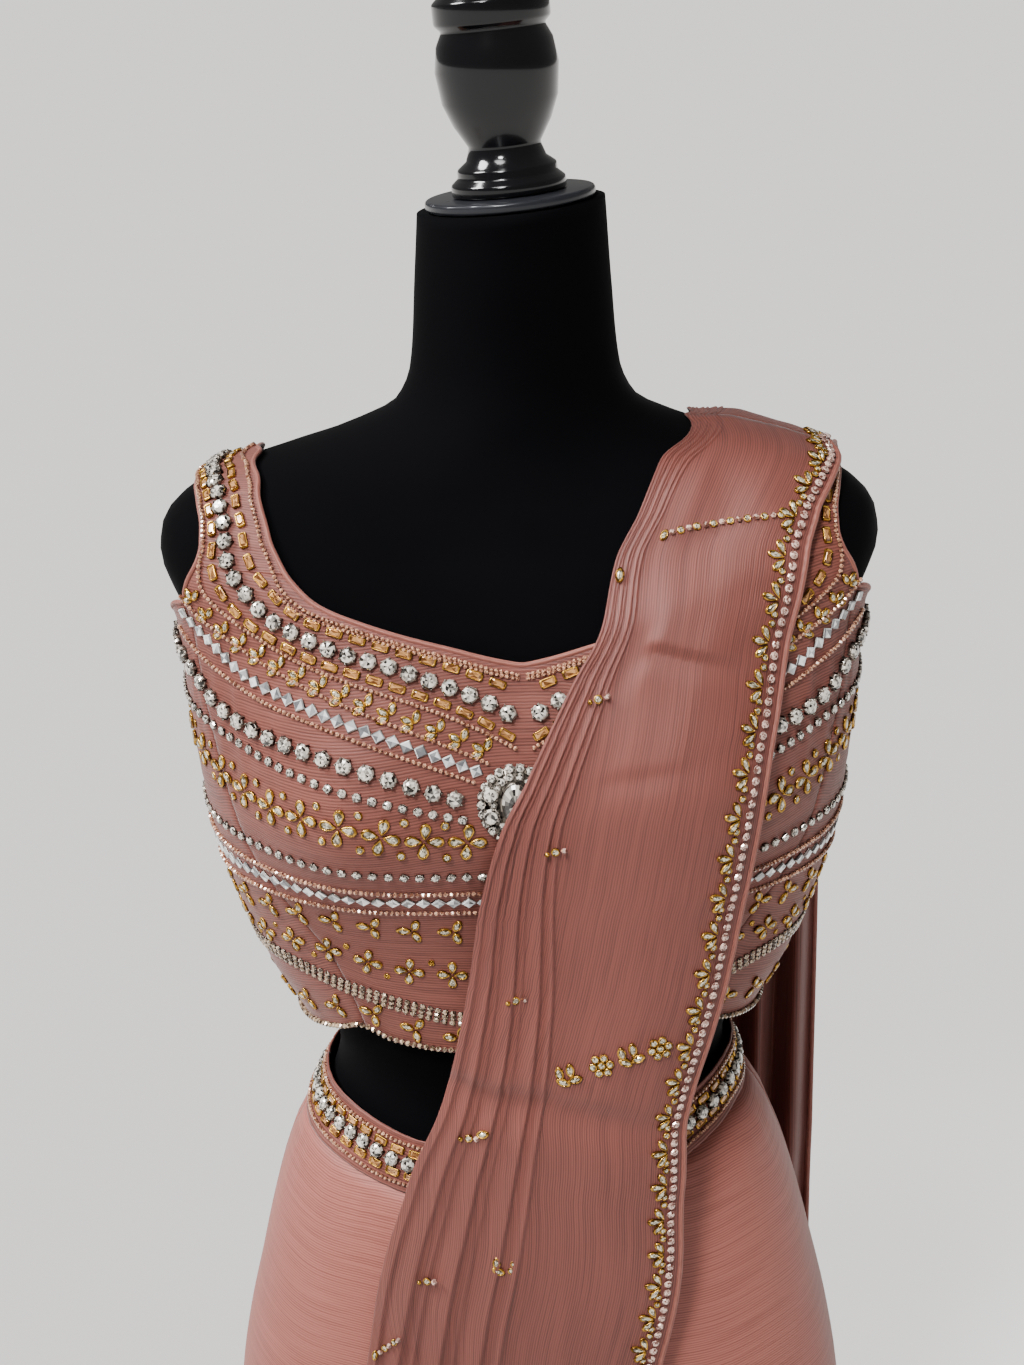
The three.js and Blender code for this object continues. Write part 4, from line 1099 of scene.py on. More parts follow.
@dataclass(frozen=True)
class Row:
    """One row of embroidery: what it repeats, how far apart, and where it runs.

    A row with a strap share comes over the shoulder first, at that share of the strap's width
    from its inner edge, and then takes its path.
    """

    motif: Motif
    pitch: float
    path: Path
    strap: float | None = None

    def whole(self) -> Path:
        """The row's path with its part on the strap put before it."""
        if self.strap is None:
            return self.path
        s = np.linspace(0.97, 0.04, 12)
        in_angle, in_z, out_angle, out_z = strap_edges(s)
        angle, z = lerp(in_angle, out_angle, self.strap), lerp(in_z, out_z, self.strap)
        return (*zip((-angle).tolist(), z.tolist(), strict=True), *self.path)


# How unevenly small pieces are sewn, in degrees of turn.
BEADS_TURN = 30
STONES_TURN = 40
MIRRORS_TURN = 5
CUP_LINES = 2.7  # between the three lines of a band of cups


def sew(tray: Tray, surface: Surface, row: Row, side: int = -1) -> None:
    """Sews one row of embroidery on a surface.

    Args:
        tray: collects the stones.
        surface: the cloth's outer face.
        row: the row's motif, pitch and path.
        side: 1 where the path is a mirrored one, so that its leaves are mirrored too.
    """
    frames = trace(surface, row.path, row.pitch)
    motif = row.motif
    if motif is Motif.BEADS:
        tray.lay(Trim.CHAMPAGNE, STONES.bead(STONES.bead_radius), frames, BEADS_TURN)
    elif motif is Motif.SMOKY_BEADS:
        tray.lay(Trim.SMOKY, STONES.bead(STONES.bead_radius * 1.25), frames, BEADS_TURN)
    elif motif is Motif.BAGUETTES:
        tray.lay_set(STONES.baguette(), frames, Trim.AMBER)
    elif motif is Motif.LARGE:
        tray.lay_claw_set(STONES.claw_set(STONES.large_radius, 12, 6), frames, STONES_TURN)
    elif motif is Motif.SMALL:
        tray.lay_claw_set(STONES.claw_set(STONES.small_radius, 8, 4), frames, STONES_TURN)
    elif motif is Motif.MIRRORS:
        glass, backing = STONES.mirror(2.35)
        tray.lay(Trim.MIRROR, glass, frames, MIRRORS_TURN)
        tray.lay(Trim.SILVER, backing, frames)
    elif motif is Motif.TRIOS:
        sew_sprig(tray, frames, 6.6, [side * angle for angle in (-170, -95, -222)])
    elif motif is Motif.SPRIGS:
        sew_sprig(tray, frames, 7.4, [side * angle for angle in (180, 68, 292)])
    elif motif is Motif.FLOWERS:
        sew_flowers(tray, frames, 8.5, False)
    elif motif is Motif.SMALL_FLOWERS:
        sew_flowers(tray, frames, 7.0, True)
    elif motif is Motif.CUPS:
        for shift in (-CUP_LINES, 0.0, CUP_LINES):
            beside = Frames(frames.place + frames.across * shift, frames.along, frames.across,
                            frames.out)
            cups = STONES.cut_stone(1.55, 7), STONES.claws(1.5, 3)
            tray.lay_set(cups, beside, Trim.SMOKY, Trim.SILVER, STONES_TURN)


def sew_sprig(tray: Tray, frames: Frames, length: float, angles: Sequence[float]) -> None:
    """Sews sprigs: leaves that spread from one point at the given angles."""
    for angle in angles:
        tray.lay_set(turned(STONES.leaf(length, length * 0.6), angle, length * 0.58), frames)


def sew_flowers(tray: Tray, frames: Frames, length: float, small: bool) -> None:
    """Sews flowers of four petals, with dots above and below between each pair.

    Args:
        tray: collects the stones.
        frames: the flowers' middles.
        length: of a petal.
        small: takes plain gold dots, one between each pair, above and below by turns.
    """
    for angle in (0, 90, 180, 270):
        tray.lay_set(turned(STONES.drop(length, length * 0.82), angle, length * 0.6), frames)
    if len(frames.place) < 2:
        return
    place = (frames.place[1:] + frames.place[:-1]) / 2
    between = frames.part(np.arange(len(frames.place) - 1))
    turns = np.where(np.arange(len(place)) % 2 == 0, 1.0, -1.0)[:, None]
    for side in (-1, 1):
        shift = between.across * side * length * 0.98 + between.along * side * -1.2
        if small:
            if side < 0:
                continue
            shift = between.across * turns * length * 0.9
        spot = Frames(place + shift, between.along, between.across, between.out)
        tray.lay_set(STONES.dot(1.7 if small else 2.2), spot, Trim.GOLD if small else Trim.KUNDAN)


def mirrored(path: Path) -> Path:
    """The same path on the other side of the body."""
    return tuple((-angle, z) for angle, z in path)


# Rows of embroidery on the left half of the blouse's front, from the neckline down, as angle and
# height. The right half has the same rows.
BLOUSE_ROWS = (
    Row(Motif.BEADS, 2.4, (
        (-55.5, 1312), (-51.5, 1306), (-45, 1300.5), (-32, 1292.3), (-20, 1286.5), (-8, 1281),
        (-0.8, 1278.5)), 0.11),
    Row(Motif.BEADS, 2.4, (
        (-57, 1312.5), (-52.3, 1304.7), (-45.6, 1299.2), (-32, 1290.8), (-20, 1285), (-8, 1279.5),
        (-0.8, 1277))),
    Row(Motif.BAGUETTES, 10.8, (
        (-58, 1313), (-54.5, 1306), (-49.5, 1300), (-43, 1295.5), (-36, 1291.3), (-26, 1286),
        (-16, 1280.5), (-4, 1273.5)), 0.35),
    Row(Motif.LARGE, 9.6, (
        (-61.5, 1311.5), (-57, 1302), (-50, 1293.5), (-44, 1288.5), (-34, 1283), (-26, 1277.5),
        (-16, 1271.5), (-6, 1264), (-2, 1260)), 0.61),
    Row(Motif.BAGUETTES, 10.9, (
        (-65, 1310), (-61, 1300.5), (-55, 1291.5), (-48, 1284.5), (-39, 1278.5), (-28, 1271.5),
        (-17, 1264), (-7, 1255.5), (-2, 1251)), 0.81),
    Row(Motif.BEADS, 2.4, (
        (-68.5, 1311), (-65, 1303.5), (-59.5, 1294.5), (-52, 1284.5), (-42, 1276), (-25, 1265),
        (-12, 1255.5), (-2, 1247)), 0.95),
    Row(Motif.TRIOS, 11.2, (
        (-71.5, 1309), (-69.5, 1303.5), (-66, 1295), (-60, 1286), (-52, 1277.5), (-44, 1270.5),
        (-35, 1263.5), (-24, 1256), (-8, 1244))),
    Row(Motif.BEADS, 2.6, (
        (-73, 1307), (-68, 1297), (-62, 1288), (-54, 1277.5), (-46, 1269.5), (-32, 1258),
        (-20, 1249), (-10, 1241))),
    Row(Motif.MIRRORS, 6.7, (
        (-74, 1300), (-67, 1286), (-60, 1274), (-51, 1266), (-42, 1259), (-32, 1251.5), (-19, 1242),
        (-12, 1237))),
    Row(Motif.BEADS, 2.6, (
        (-77, 1288), (-70, 1279), (-64, 1272), (-57, 1264.5), (-49, 1259), (-32, 1246),
        (-14, 1233))),
    Row(Motif.LARGE, 10.2, (
        (-88, 1277), (-78, 1275), (-72, 1268), (-66, 1257), (-59, 1251), (-49, 1246), (-38, 1239),
        (-28, 1232), (-17, 1225))),
    Row(Motif.SMALL, 6.9, (
        (-89, 1255), (-80, 1251), (-68, 1246), (-58, 1239.5), (-48, 1233.5), (-35, 1226),
        (-25, 1220.5), (-16, 1216))),
    Row(Motif.FLOWERS, 20.0, (
        (-89, 1236), (-80, 1232), (-73, 1228), (-65, 1221), (-57, 1217), (-49, 1216.5), (-41, 1214),
        (-33, 1210), (-25, 1208), (-11, 1205))),
    Row(Motif.SMALL, 7.2, (
        (-89, 1195), (-75, 1194), (-63, 1193), (-52, 1193), (-40, 1192), (-28, 1189.5),
        (-2, 1186))),
    Row(Motif.BEADS, 2.6, (
        (-89, 1183), (-74, 1181.5), (-61, 1180.5), (-48, 1181), (-34, 1179.5), (-14, 1177.5),
        (-2, 1177))),
    Row(Motif.MIRRORS, 7.1, (
        (-89, 1173), (-72, 1173), (-62, 1173.5), (-52, 1174), (-40, 1173.5), (-18, 1171.5),
        (-2, 1170))),
    Row(Motif.BEADS, 2.6, (
        (-89, 1164), (-74, 1164.5), (-59, 1165.5), (-48, 1166.5), (-30, 1166), (-14, 1165),
        (-2, 1164))),
    Row(Motif.SPRIGS, 20.0, (
        (-88, 1153), (-68, 1154), (-53, 1156), (-44, 1155), (-38, 1153.5), (-28, 1153), (-18, 1152),
        (-4, 1151))),
    Row(Motif.SMALL_FLOWERS, 20.5, (
        (-88, 1137), (-68, 1134), (-60, 1136), (-52, 1135), (-43, 1130.5), (-33, 1127), (-22, 1126),
        (-4, 1125))),
    Row(Motif.CUPS, 3.9, (
        (-89, 1121), (-70, 1122), (-62, 1120), (-50, 1113), (-38, 1107), (-24, 1101.5),
        (-1, 1099))),
    Row(Motif.SPRIGS, 21.0, (
        (-88, 1097), (-72, 1097), (-60, 1099), (-50, 1101.5), (-40, 1096), (-28, 1091),
        (-14, 1089.5), (-2, 1089))),
    Row(Motif.SMOKY_BEADS, 3.1, (
        (-89.5, 1073.5), (-70, 1080.5), (-57, 1087.5), (-50, 1092.5), (-42, 1086.5), (-26, 1083.5),
        (-0.5, 1082.5))),
)
# How many points of a row of large stones are passed over at the strap under the drape, which
# lies close on the blouse there.
HIDDEN_POINTS = 4
# The back is plain but for the bands that run on round it.
BLOUSE_BACK_ROWS = (
    Row(Motif.SMOKY_BEADS, 3.1, (
        (-90.5, 1073.5), (-120, 1068.5), (-179, 1066.5))),
    Row(Motif.CUPS, 3.9, (
        (-91, 1121), (-120, 1116), (-178, 1112))),
    Row(Motif.BEADS, 2.6, (
        (-125, 1315), (-130, 1297), (-146, 1271.5), (-164, 1257.5), (-179, 1253.5))),
)


# The blouse.


def seam_groove(u: Array, width_mm: Array | float, depth: float = 0.7) -> Array:
    """How far a panel dips at its two seamed edges; u runs from 0 to 1 across it."""
    return -depth * (trough(u * width_mm, 1.8) + trough((1 - u) * width_mm, 1.8))


@dataclass
class Blouse:
    """The sleeveless beaded blouse: panels cut to the form, piping, and rows of stones."""

    box: Workbox
    rows: int = 84
    columns: int = 150
    side_columns: int = 46
    back_columns: int = 50
    strap_rows: int = 120
    strap_columns: int = 26
    settling: int = 6  # turns of working out a slanting edge's angle and height from each other
    seam_gap: float = 0.05  # degrees kept to the neighbouring panel
    piping_radius: float = 1.25
    piping_step: float = 2.0

    def build(self) -> None:
        """Builds the panels, the piping and the embroidery."""
        self.center_front()
        for side, word in ((-1, "left"), (1, "right")):
            self.side_front(side, word)
            self.strap(side, word)
            self.back(side, word)
            self.armhole(side, word)
        self.neckline()
        self.embroider()

    def panel(self, node: str, points: Array,
              side: int = 1) -> None:
        """Makes one panel from its outer face.

        Args:
            node: the solid that it stands for.
            points: its outer face, which faces inwards where the side is a mirrored one.
            side: -1 on the left.
        """
        made = add_sheet(f"{node}_cloth", points[:, ::side], Grain.ROUND)
        settle(made, self.box.get(BLOUSE_CREPE), "rose_cloth", node)

    def pucker(self, angle: Array, z: Array) -> Array:
        """Soft gathers beside the cup and faint ripples that the sewing pulls into the cloth."""
        aside = np.abs(angle)
        gathers = trough(aside - 63, 10) * trough(z - 1262, 36)
        waves = uneven(aside * 1.5, z * 0.05, 0.7)
        pull = uneven(z * 0.55, aside * 0.22, 1.9) * trough(z - 1190, 110)
        return 1.0 * gathers * waves + 0.22 * pull

    def center_front(self) -> None:
        """The centre front: between the two bust seams, from the hem to the neckline."""
        u, v = np.linspace(-1, 1, self.columns)[None, :], down(self.rows)
        angle = np.abs(u) * 70 + 0 * v
        for _ in range(self.settling):
            z = lerp(FRONT_HEM.at(angle), NECKLINE.at(np.minimum(angle, STRAP_FOOT)), v)
            angle = np.abs(u) * (BUST_SEAM.at(z) - self.seam_gap)
        signed = np.sign(u) * angle
        out = CLOTH + self.pucker(signed, z) + seam_groove((u + 1) / 2 + 0 * v, 270)
        self.panel("blouse_center_front", on_blouse(signed, z, out))

    def side_front(self, side: int, word: str) -> None:
        """A side front: between the bust seam and the side seam, up to the armhole."""
        u, v = over(self.side_columns), down(self.rows)
        angle = lerp(66.0, 90.0, u) + 0 * v
        for _ in range(self.settling):
            z = lerp(FRONT_HEM.at(angle), armhole_foot(angle), v)
            angle = lerp(BUST_SEAM.at(z) + self.seam_gap, 90 - self.seam_gap, u)
        out = CLOTH + self.pucker(angle, z) + seam_groove(u + 0 * v, 75)
        self.panel(f"blouse_side_front_{word}", on_blouse(side * angle, z, out),
                   side)

    def strap(self, side: int, word: str) -> None:
        """A strap: from the top of the cup over the shoulder to the back."""
        s, u = down(self.strap_rows), over(self.strap_columns)
        in_angle, in_z, out_angle, out_z = strap_edges(s)
        angle, z = lerp(in_angle, out_angle, u), lerp(in_z, out_z, u)
        free = smooth(s * 9) * smooth((1 - s) * 9)
        out = CLOTH + 0.7 * smooth((s - 0.6) / 0.4) + 0.25 * free * uneven(s * 60, u * 9, 0.4)
        self.panel(f"blouse_strap_{word}", on_blouse(side * angle, z, out),
                   side)

    def back(self, side: int, word: str) -> None:
        """Half of the back, filled in between its hem, side, centre and top edges.

        Each point is the mix of the opposite edges both ways, less the mix of the four corners.

        Args:
            side: -1 on the left and 1 on the right.
            word: the side's name.
        """
        u, v = over(self.back_columns), 1 - (1 - down(self.rows)) ** 1.15
        gap = self.seam_gap

        def edge_mix(bottom: Array, top: Array, first: Array, last: Array) -> Array:
            """One coordinate of the filled patch."""
            corners = lerp(lerp(bottom[:, :1], bottom[:, -1:], u),
                           lerp(top[:, :1], top[:, -1:], u), v)
            return lerp(bottom, top, v) + lerp(first, last, u) - corners

        hem_angle = lerp(90 + gap, 180 - gap, u)
        angle = edge_mix(hem_angle, BACK_TOP_ANGLE.at(u) + lerp(gap, -gap, u),
                         BACK_SIDE_ANGLE.at(v) + gap, np.full_like(v, 180 - gap))
        z = edge_mix(BACK_HEM.at(hem_angle), BACK_TOP_Z.at(u), BACK_SIDE_Z.at(v),
                     lerp(1064.0, 1258.0, v))
        out = CLOTH + 0.7 + 0.3 * uneven(z * 0.2, angle * 0.3, 2.2) + seam_groove(u + 0 * v, 150)
        self.panel(f"blouse_back_{word}", on_blouse(side * angle, z, out),
                   side)

    def piping(self, node: str, angle: Array, z: Array) -> None:
        """A closed loop of piping on an edge of the blouse.

        It is read at even steps and evened out by a running mean of five with weights 1 to 3.

        Args:
            node: the solid that it stands for.
            angle: degrees round the body of the edge's points.
            z: their heights.
        """
        lift = self.piping_radius - 0.1
        corner = on_blouse(angle, z, lift)
        loop = np.concatenate([corner, corner[:1]])
        reach = lengths(loop)
        count = int(reach[-1] / self.piping_step)
        target = np.arange(count) * reach[-1] / count
        place = np.interp(target, reach, np.append(angle, angle[0]))
        height = np.interp(target, reach, np.append(z, z[0]))
        weights = np.array([1, 2, 3, 2, 1]) / 9
        shifts = range(-2, 3)
        base = on_blouse(place, height, lift)
        line = sum(w * np.roll(base, k, 0) for w, k in zip(weights, shifts, strict=True))
        out = unit(on_blouse(place, height, 1.0) - on_blouse(place, height, 0.0))
        made = add_tube(f"{node}_cord", line, out, self.piping_radius, closed=True)
        settle(made, self.box.get(PIPING_CREPE), "rose_cloth", node)

    def neckline(self) -> None:
        """The neckline's piping: the front, one strap, the back and the other strap."""
        s = np.linspace(0, 1, 70)
        in_angle, in_z, _, _ = strap_edges(s)
        front = np.linspace(0, 53, 30)
        share = np.linspace(0.24, 1, 40)
        angle = np.concatenate([front, in_angle, BACK_TOP_ANGLE.at(share)])
        z = np.concatenate([NECKLINE.at(front), in_z, BACK_TOP_Z.at(share)])
        loop_angle = np.concatenate([angle, -angle[-2:0:-1]])
        loop_z = np.concatenate([z, z[-2:0:-1]])
        self.piping("neckline_piping", loop_angle, loop_z)

    def armhole(self, side: int, word: str) -> None:
        """One armhole's piping: over the strap's outer edge, down the back, under the arm."""
        _, _, out_angle, out_z = strap_edges(np.linspace(0, 1, 50))
        share = np.linspace(0.975, 0.81, 20)
        under = np.linspace(89.5, 73.5, 16)
        rise = np.linspace(ARMHOLE_FRONT_Z, 1317, 6)
        angle = np.concatenate([out_angle, BACK_SIDE_ANGLE.at(share) - 0.5, under,
                                BUST_SEAM.at(rise)])
        z = np.concatenate([out_z, BACK_SIDE_Z.at(share), armhole_foot(under), rise])
        order = slice(None, None, -side)
        self.piping(f"armhole_piping_{word}", (side * angle)[order], z[order])

    def embroider(self) -> None:
        """Sews the rows on both halves, and the brooch at the centre."""
        def face(angle: Array, z: Array) -> Array:
            """The blouse's outer face, which the stones are sewn on."""
            return on_blouse(angle, z, CLOTH)

        tray = Tray("blouse", 11)
        for row in BLOUSE_ROWS + BLOUSE_BACK_ROWS:
            sew(tray, face, Row(row.motif, row.pitch, row.whole()))
            hidden = row.motif is Motif.LARGE and row.strap is not None
            path = row.path[HIDDEN_POINTS:] if hidden else row.whole()
            sew(tray, face, Row(row.motif, row.pitch, mirrored(path)), 1)
        tray.join(self.box)
        self.brooch(face)

    def brooch(self, face: Surface) -> None:
        """The round brooch: a clear oval stone, crystals beside it, and rings of small ones.

        Args:
            face: the blouse's outer face, where it is pinned.
        """
        angle, z = np.array([-3.0]), np.array([1223.0])
        out = normal_of(face, angle, z)
        along = unit(face(angle + 0.5, z) - face(angle - 0.5, z))
        across = np.cross(out, along)
        middle = Frames(face(angle, z), along, across, out)
        tray = Tray("brooch", 23)
        oval = round_outline(1.0, 20) * [6.4, 9.6]
        stone = stacked(oval, ((0.9, 0.5), (1.0, 2.2), (0.8, 3.4), (0.5, 4.0)))
        tray.lay_claw_set((stone, rim(oval, 0.95, 1.12, 2.8)), middle)
        plate = stacked(round_outline(1.0, 24) * [16.0, 17.5], ((1.0, 0.1), (0.98, 1.0)))
        tray.lay(Trim.SILVER, plate, middle)
        for count, wide, high, radius in ((18, 10.2, 13.2, 2.0), (22, 15.6, 17.2, 2.2)):
            for degrees in np.linspace(0, 360, count, endpoint=False):
                turn = np.radians(degrees)
                reach = 1 / np.hypot(np.cos(turn) / wide, np.sin(turn) / high)
                pair = STONES.claw_set(radius, 8, 4)
                tray.lay_claw_set(turned(pair, degrees, reach, 0.8), middle)
        for degrees in (155, 205, 25, 335):
            tray.lay_claw_set(turned(STONES.claw_set(3.9, 12, 6), degrees, 12.6, 1.2), middle)
        pieces = tray.join(self.box)
        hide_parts("brooch")


# The waistband and the skirt.

BAND_ROWS = (
    (Motif.BEADS, 2.6, 5.0), (Motif.BAGUETTES, 10.6, 9.0), (Motif.LARGE, 9.4, 14.2),
    (Motif.BAGUETTES, 10.6, 19.4), (Motif.BEADS, 2.6, 23.6),
)


def halves(gap: float, columns: int) -> tuple[tuple[str, Array], tuple[str, Array]]:
    """The angles of a front half and a back half, each from side seam to side seam."""
    turn = np.linspace(-90 + gap, 90 - gap, columns)[None, :]
    return ("front", turn), ("back", 180 + turn)


@dataclass
class Waistband:
    """The shaped waistband with its rows of stones."""

    box: Workbox
    rows: int = 26
    columns: int = 130
    seam_gap: float = 0.08

    def build(self) -> None:
        """Builds the front and back halves and sews their rows."""
        for word, angle in halves(self.seam_gap, self.columns):
            v = down(self.rows)
            z = lerp(band_top(angle) - BAND_HEIGHT, band_top(angle), v)
            piped = 1.0 * trough((1 - v) * BAND_HEIGHT - 1.2, 1.4)
            out = CLOTH + piped + 0.18 * uneven(angle * 0.9, v * 12, 1.1)
            made = add_sheet(f"waistband_{word}_cloth", on_band(angle, z, out), Grain.ROUND)
            settle(made, self.box.get(BLOUSE_CREPE), "rose_cloth", f"waistband_{word}")
        self.embroider()

    def embroider(self) -> None:
        """Sews the rows all round, at even drops below the top edge."""
        tray = Tray("waistband", 31)
        corners = np.linspace(-179.5, 179.5, 25)
        for motif, pitch, drop in BAND_ROWS:
            height = band_top(corners) - drop
            path = tuple(zip(corners.tolist(), height.tolist(), strict=True))
            sew(tray, lambda angle, z: on_band(angle, z, CLOTH), Row(motif, pitch, path))
        tray.join(self.box)


@dataclass
class Skirt:
    """The flared skirt in two halves, with hanging folds that deepen to the hem."""

    box: Workbox
    rows: int = 110
    columns: int = 120
    seam_gap: float = 0.05
    hem_seam: float = 22  # height of the hem's stitching above its edge
    tuck: float = 3  # how far its top reaches up behind the waistband
    gathered: float = 13  # height over which it comes in to the band
    loose_from: float = 900
    loose_over: float = 500

    def build(self) -> None:
        """Builds the front and back halves."""
        for word, angle in halves(self.seam_gap, self.columns):
            top = band_top(angle) - BAND_HEIGHT + self.tuck
            z = lerp(HEM_Z + 0 * angle, top, down(self.rows))
            loose = smooth((self.loose_from - z) / self.loose_over)
            soft = 1.6 * loose * uneven(angle * 0.35, z * 0.012, 0.9)
            caught = 0.5 * trough(z - top, 30) * uneven(angle * 1.1, z * 0.03, 2.4)
            hem = -0.7 * trough(z - HEM_Z - self.hem_seam, 1.6)
            out = soft + caught + hem
            under = smooth(1 - (top - self.tuck - z) / self.gathered)[..., None]
            points = lerp(moved(skirt_surface, angle, z, out), on_band(angle, z, 0.9), under)
            made = add_sheet(f"skirt_{word}_cloth", points, Grain.ROUND)
            settle(made, self.box.get(SKIRT_CREPE), "rose_cloth", f"skirt_{word}")


# The drape.

NECK_ANGLE = (-89, -80, -70, -60, -51, -44, -42.5, -39, -31, -23, -18, -14, -8, 0, 8, 15, 22, 28,
              40, 58, 90)
NECK_Z = (622, 668, 716, 770, 836, 899, 950, 1000, 1050, 1095, 1135, 1178, 1211, 1233, 1257,
          1277, 1295, 1319.5, 1341.8, 1365, 1373)
BORDER_ANGLE = (-89, -74, -56, -33, -5, 14, 29, 38, 43, 47, 49.5, 50.2, 51.4, 53, 55, 57.3, 60,
                63.8, 70.4, 79.2, 90)
BORDER_Z = (318, 360, 426, 520, 640, 770, 895, 965, 1030, 1085, 1130, 1178, 1212, 1238, 1262,
            1285, 1303, 1320, 1336, 1346, 1351)
OVER_NECK_ANGLE = (90, 112, 127, 134, 137)
OVER_NECK_Z = (1373, 1366.5, 1349, 1320, 1288)
OVER_BORDER_ANGLE = (90, 99, 106, 110, 113)
OVER_BORDER_Z = (1351, 1345, 1331, 1311, 1288)
HANG_NECK_X = Curve(((372, 6), (600, 14), (893, 26), (1128, 44), (1200, 62), (1288, 88)))
HANG_BORDER_X = Curve((
    (372, 178), (600, 172), (893, 168), (1128, 166), (1200, 162), (1288, 151),
))
HANG_OPENED = Curve(((1150, 1), (1200, 0.84), (1236, 0.5), (1264, 0.16), (1288, 0)))
HANG_TOP_Z = 1288
HANG_END_Z = 372
WAIST_SEAM_Z = 1004
WAIST_MIX_Z = 1072  # where the drape has left the skirt's shape for the blouse's
BARE_FADE = 22  # how high above the blouse's edge the drape has come down to the form
DRAPE_EASE = 2.0  # kept between the drape and what it lies on
STONES_RISE = 2.2  # how far the blouse's stones hold it off the cloth
EDGE_ABOVE = Curve((
    (0, 1283), (8, 1286), (20, 1291.5), (32, 1297), (42, 1303), (50, 1309), (57, 1320),
    (61.5, 1330), (65.5, 1339), (70, 1347), (76, 1354.5), (90, 1359.5),
))


def even(values: Sequence[float]) -> Curve:
    """A curve through values at even shares from 0 to 1."""
    shares = np.linspace(0, 1, len(values)).tolist()
    return Curve(tuple(zip(shares, [float(v) for v in values], strict=True)))


def under_drape(angle: Array, z: Array) -> Array:
    """The face that the drape lies on.

    Over the beaded blouse above, over the crests of the skirt's folds below, and a soft mix of
    the two at the waist.

    Args:
        angle: degrees round the body.
        z: heights.

    Returns:
        The points.
    """
    low = SKIRT.point(angle, np.minimum(z, WAIST_SEAM_Z))
    radius = np.hypot(low[..., 0], low[..., 1])
    scale = 1 + (SKIRT_FOLD_DEPTH.at(z) + DRAPE_EASE) / radius
    low[..., :2] *= scale[..., None]
    low[..., 2] = z
    bare = smooth((z - EDGE_ABOVE.at(np.minimum(np.abs(angle), 90))) / BARE_FADE)
    high = on_blouse(angle, z, lerp(CLOTH + STONES_RISE, 0.0, bare) + DRAPE_EASE)
    share = smooth((z - WAIST_SEAM_Z) / (WAIST_MIX_Z - WAIST_SEAM_Z))[..., None]
    return lerp(low, high, share)


def taut(points: Array, low: float, high: float) -> None:
    """Pulls each column of a grid taut between two heights.

    A point's depth becomes the furthest forward of all straight lines that join two points of
    its column, one below it and one above it.

    Args:
        points: the grid, which is changed.
        low: where the pull starts.
        high: where it ends.
    """
    middle = points[..., 2].mean(axis=1)
    rows = np.flatnonzero((middle > low) & (middle < high))
    z, depth = points[rows, :, 2], -points[rows, :, 1]
    pulled = depth.copy()
    for i in range(1, len(rows) - 1):
        below_z, below = z[:i, None], depth[:i, None]
        above_z, above = z[None, i + 1:], depth[None, i + 1:]
        line = below + (above - below) * (z[i] - below_z) / (above_z - below_z)
        pulled[i] = np.maximum(pulled[i], line.max(axis=(0, 1)))
    points[rows, :, 1] = -pulled


def soften(values: Array, width: int) -> Array:
    """Evens out a grid along its rows' direction by a running mean of that many rows."""
    if width < 2:
        return values
    padded = np.concatenate([np.repeat(values[:1], width // 2, 0), values,
                             np.repeat(values[-1:], width - 1 - width // 2, 0)])
    total = np.cumsum(np.concatenate([np.zeros_like(padded[:1]), padded]), axis=0)
    return (total[width:] - total[:-width]) / width


@dataclass(frozen=True)
class GridSurface:
    """A surface read from a grid: percent across it, and thousandths along it."""

    points: Array

    def at(self, across: Array, along: Array) -> Array:
        """Points between the grid's own, as the even mix of the four nearest.

        Args:
            across: percent of the width, from the neck edge.
            along: thousandths of the rows, from the lower end.

        Returns:
            The points.
        """
        rows, columns = self.points.shape[:2]
        r = np.clip(np.asarray(along, float) / 1000, 0, 1) * (rows - 1)
        c = np.clip(np.asarray(across, float) / 100, 0, 1) * (columns - 1)
        r, c = np.broadcast_arrays(r, c)
        r0 = np.minimum(r.astype(int), rows - 2)
        c0 = np.minimum(c.astype(int), columns - 2)
        tr, tc = (r - r0)[..., None], (c - c0)[..., None]
        low = lerp(self.points[r0, c0], self.points[r0, c0 + 1], tc)
        high = lerp(self.points[r0 + 1, c0], self.points[r0 + 1, c0 + 1], tc)
        return lerp(low, high, tr)


class Sewn(Enum):
    """What a scattered motif is put together from."""

    LEAF = "a leaf stone in its bezel"
    DOT = "a round stone in its bezel"
    PEACH = "a cut bead"
    GOLD = "a smaller gold bead"


class Spray(Enum):
    """The small motifs that are scattered over the drape: part, place beside its middle, turn."""

    LEAVES = ((Sewn.LEAF, -4.6, 1.3, 100), (Sewn.LEAF, -2.9, -3.4, 158),
              (Sewn.LEAF, 0.6, 3.2, 96), (Sewn.LEAF, 2.9, -1.7, 20))
    ROSETTE = ((Sewn.DOT, 0, 0, 0), *((Sewn.DOT, 4.2 * np.cos(turn), 4.2 * np.sin(turn), 0)
                                      for turn in np.radians(np.arange(20, 380, 60))))
    PAIR = ((Sewn.DOT, 0, 0, 0), (Sewn.PEACH, 4.0, 1.0, 0), (Sewn.GOLD, -3.8, -0.9, 0))
    BUD = ((Sewn.LEAF, -3, 0, 165), (Sewn.LEAF, -5.2, 4.6, 100), (Sewn.DOT, 3.2, 2.2, 0),
           (Sewn.DOT, 3.4, 6.6, 0))
    LEAF = ((Sewn.LEAF, 0, 0, 80),)


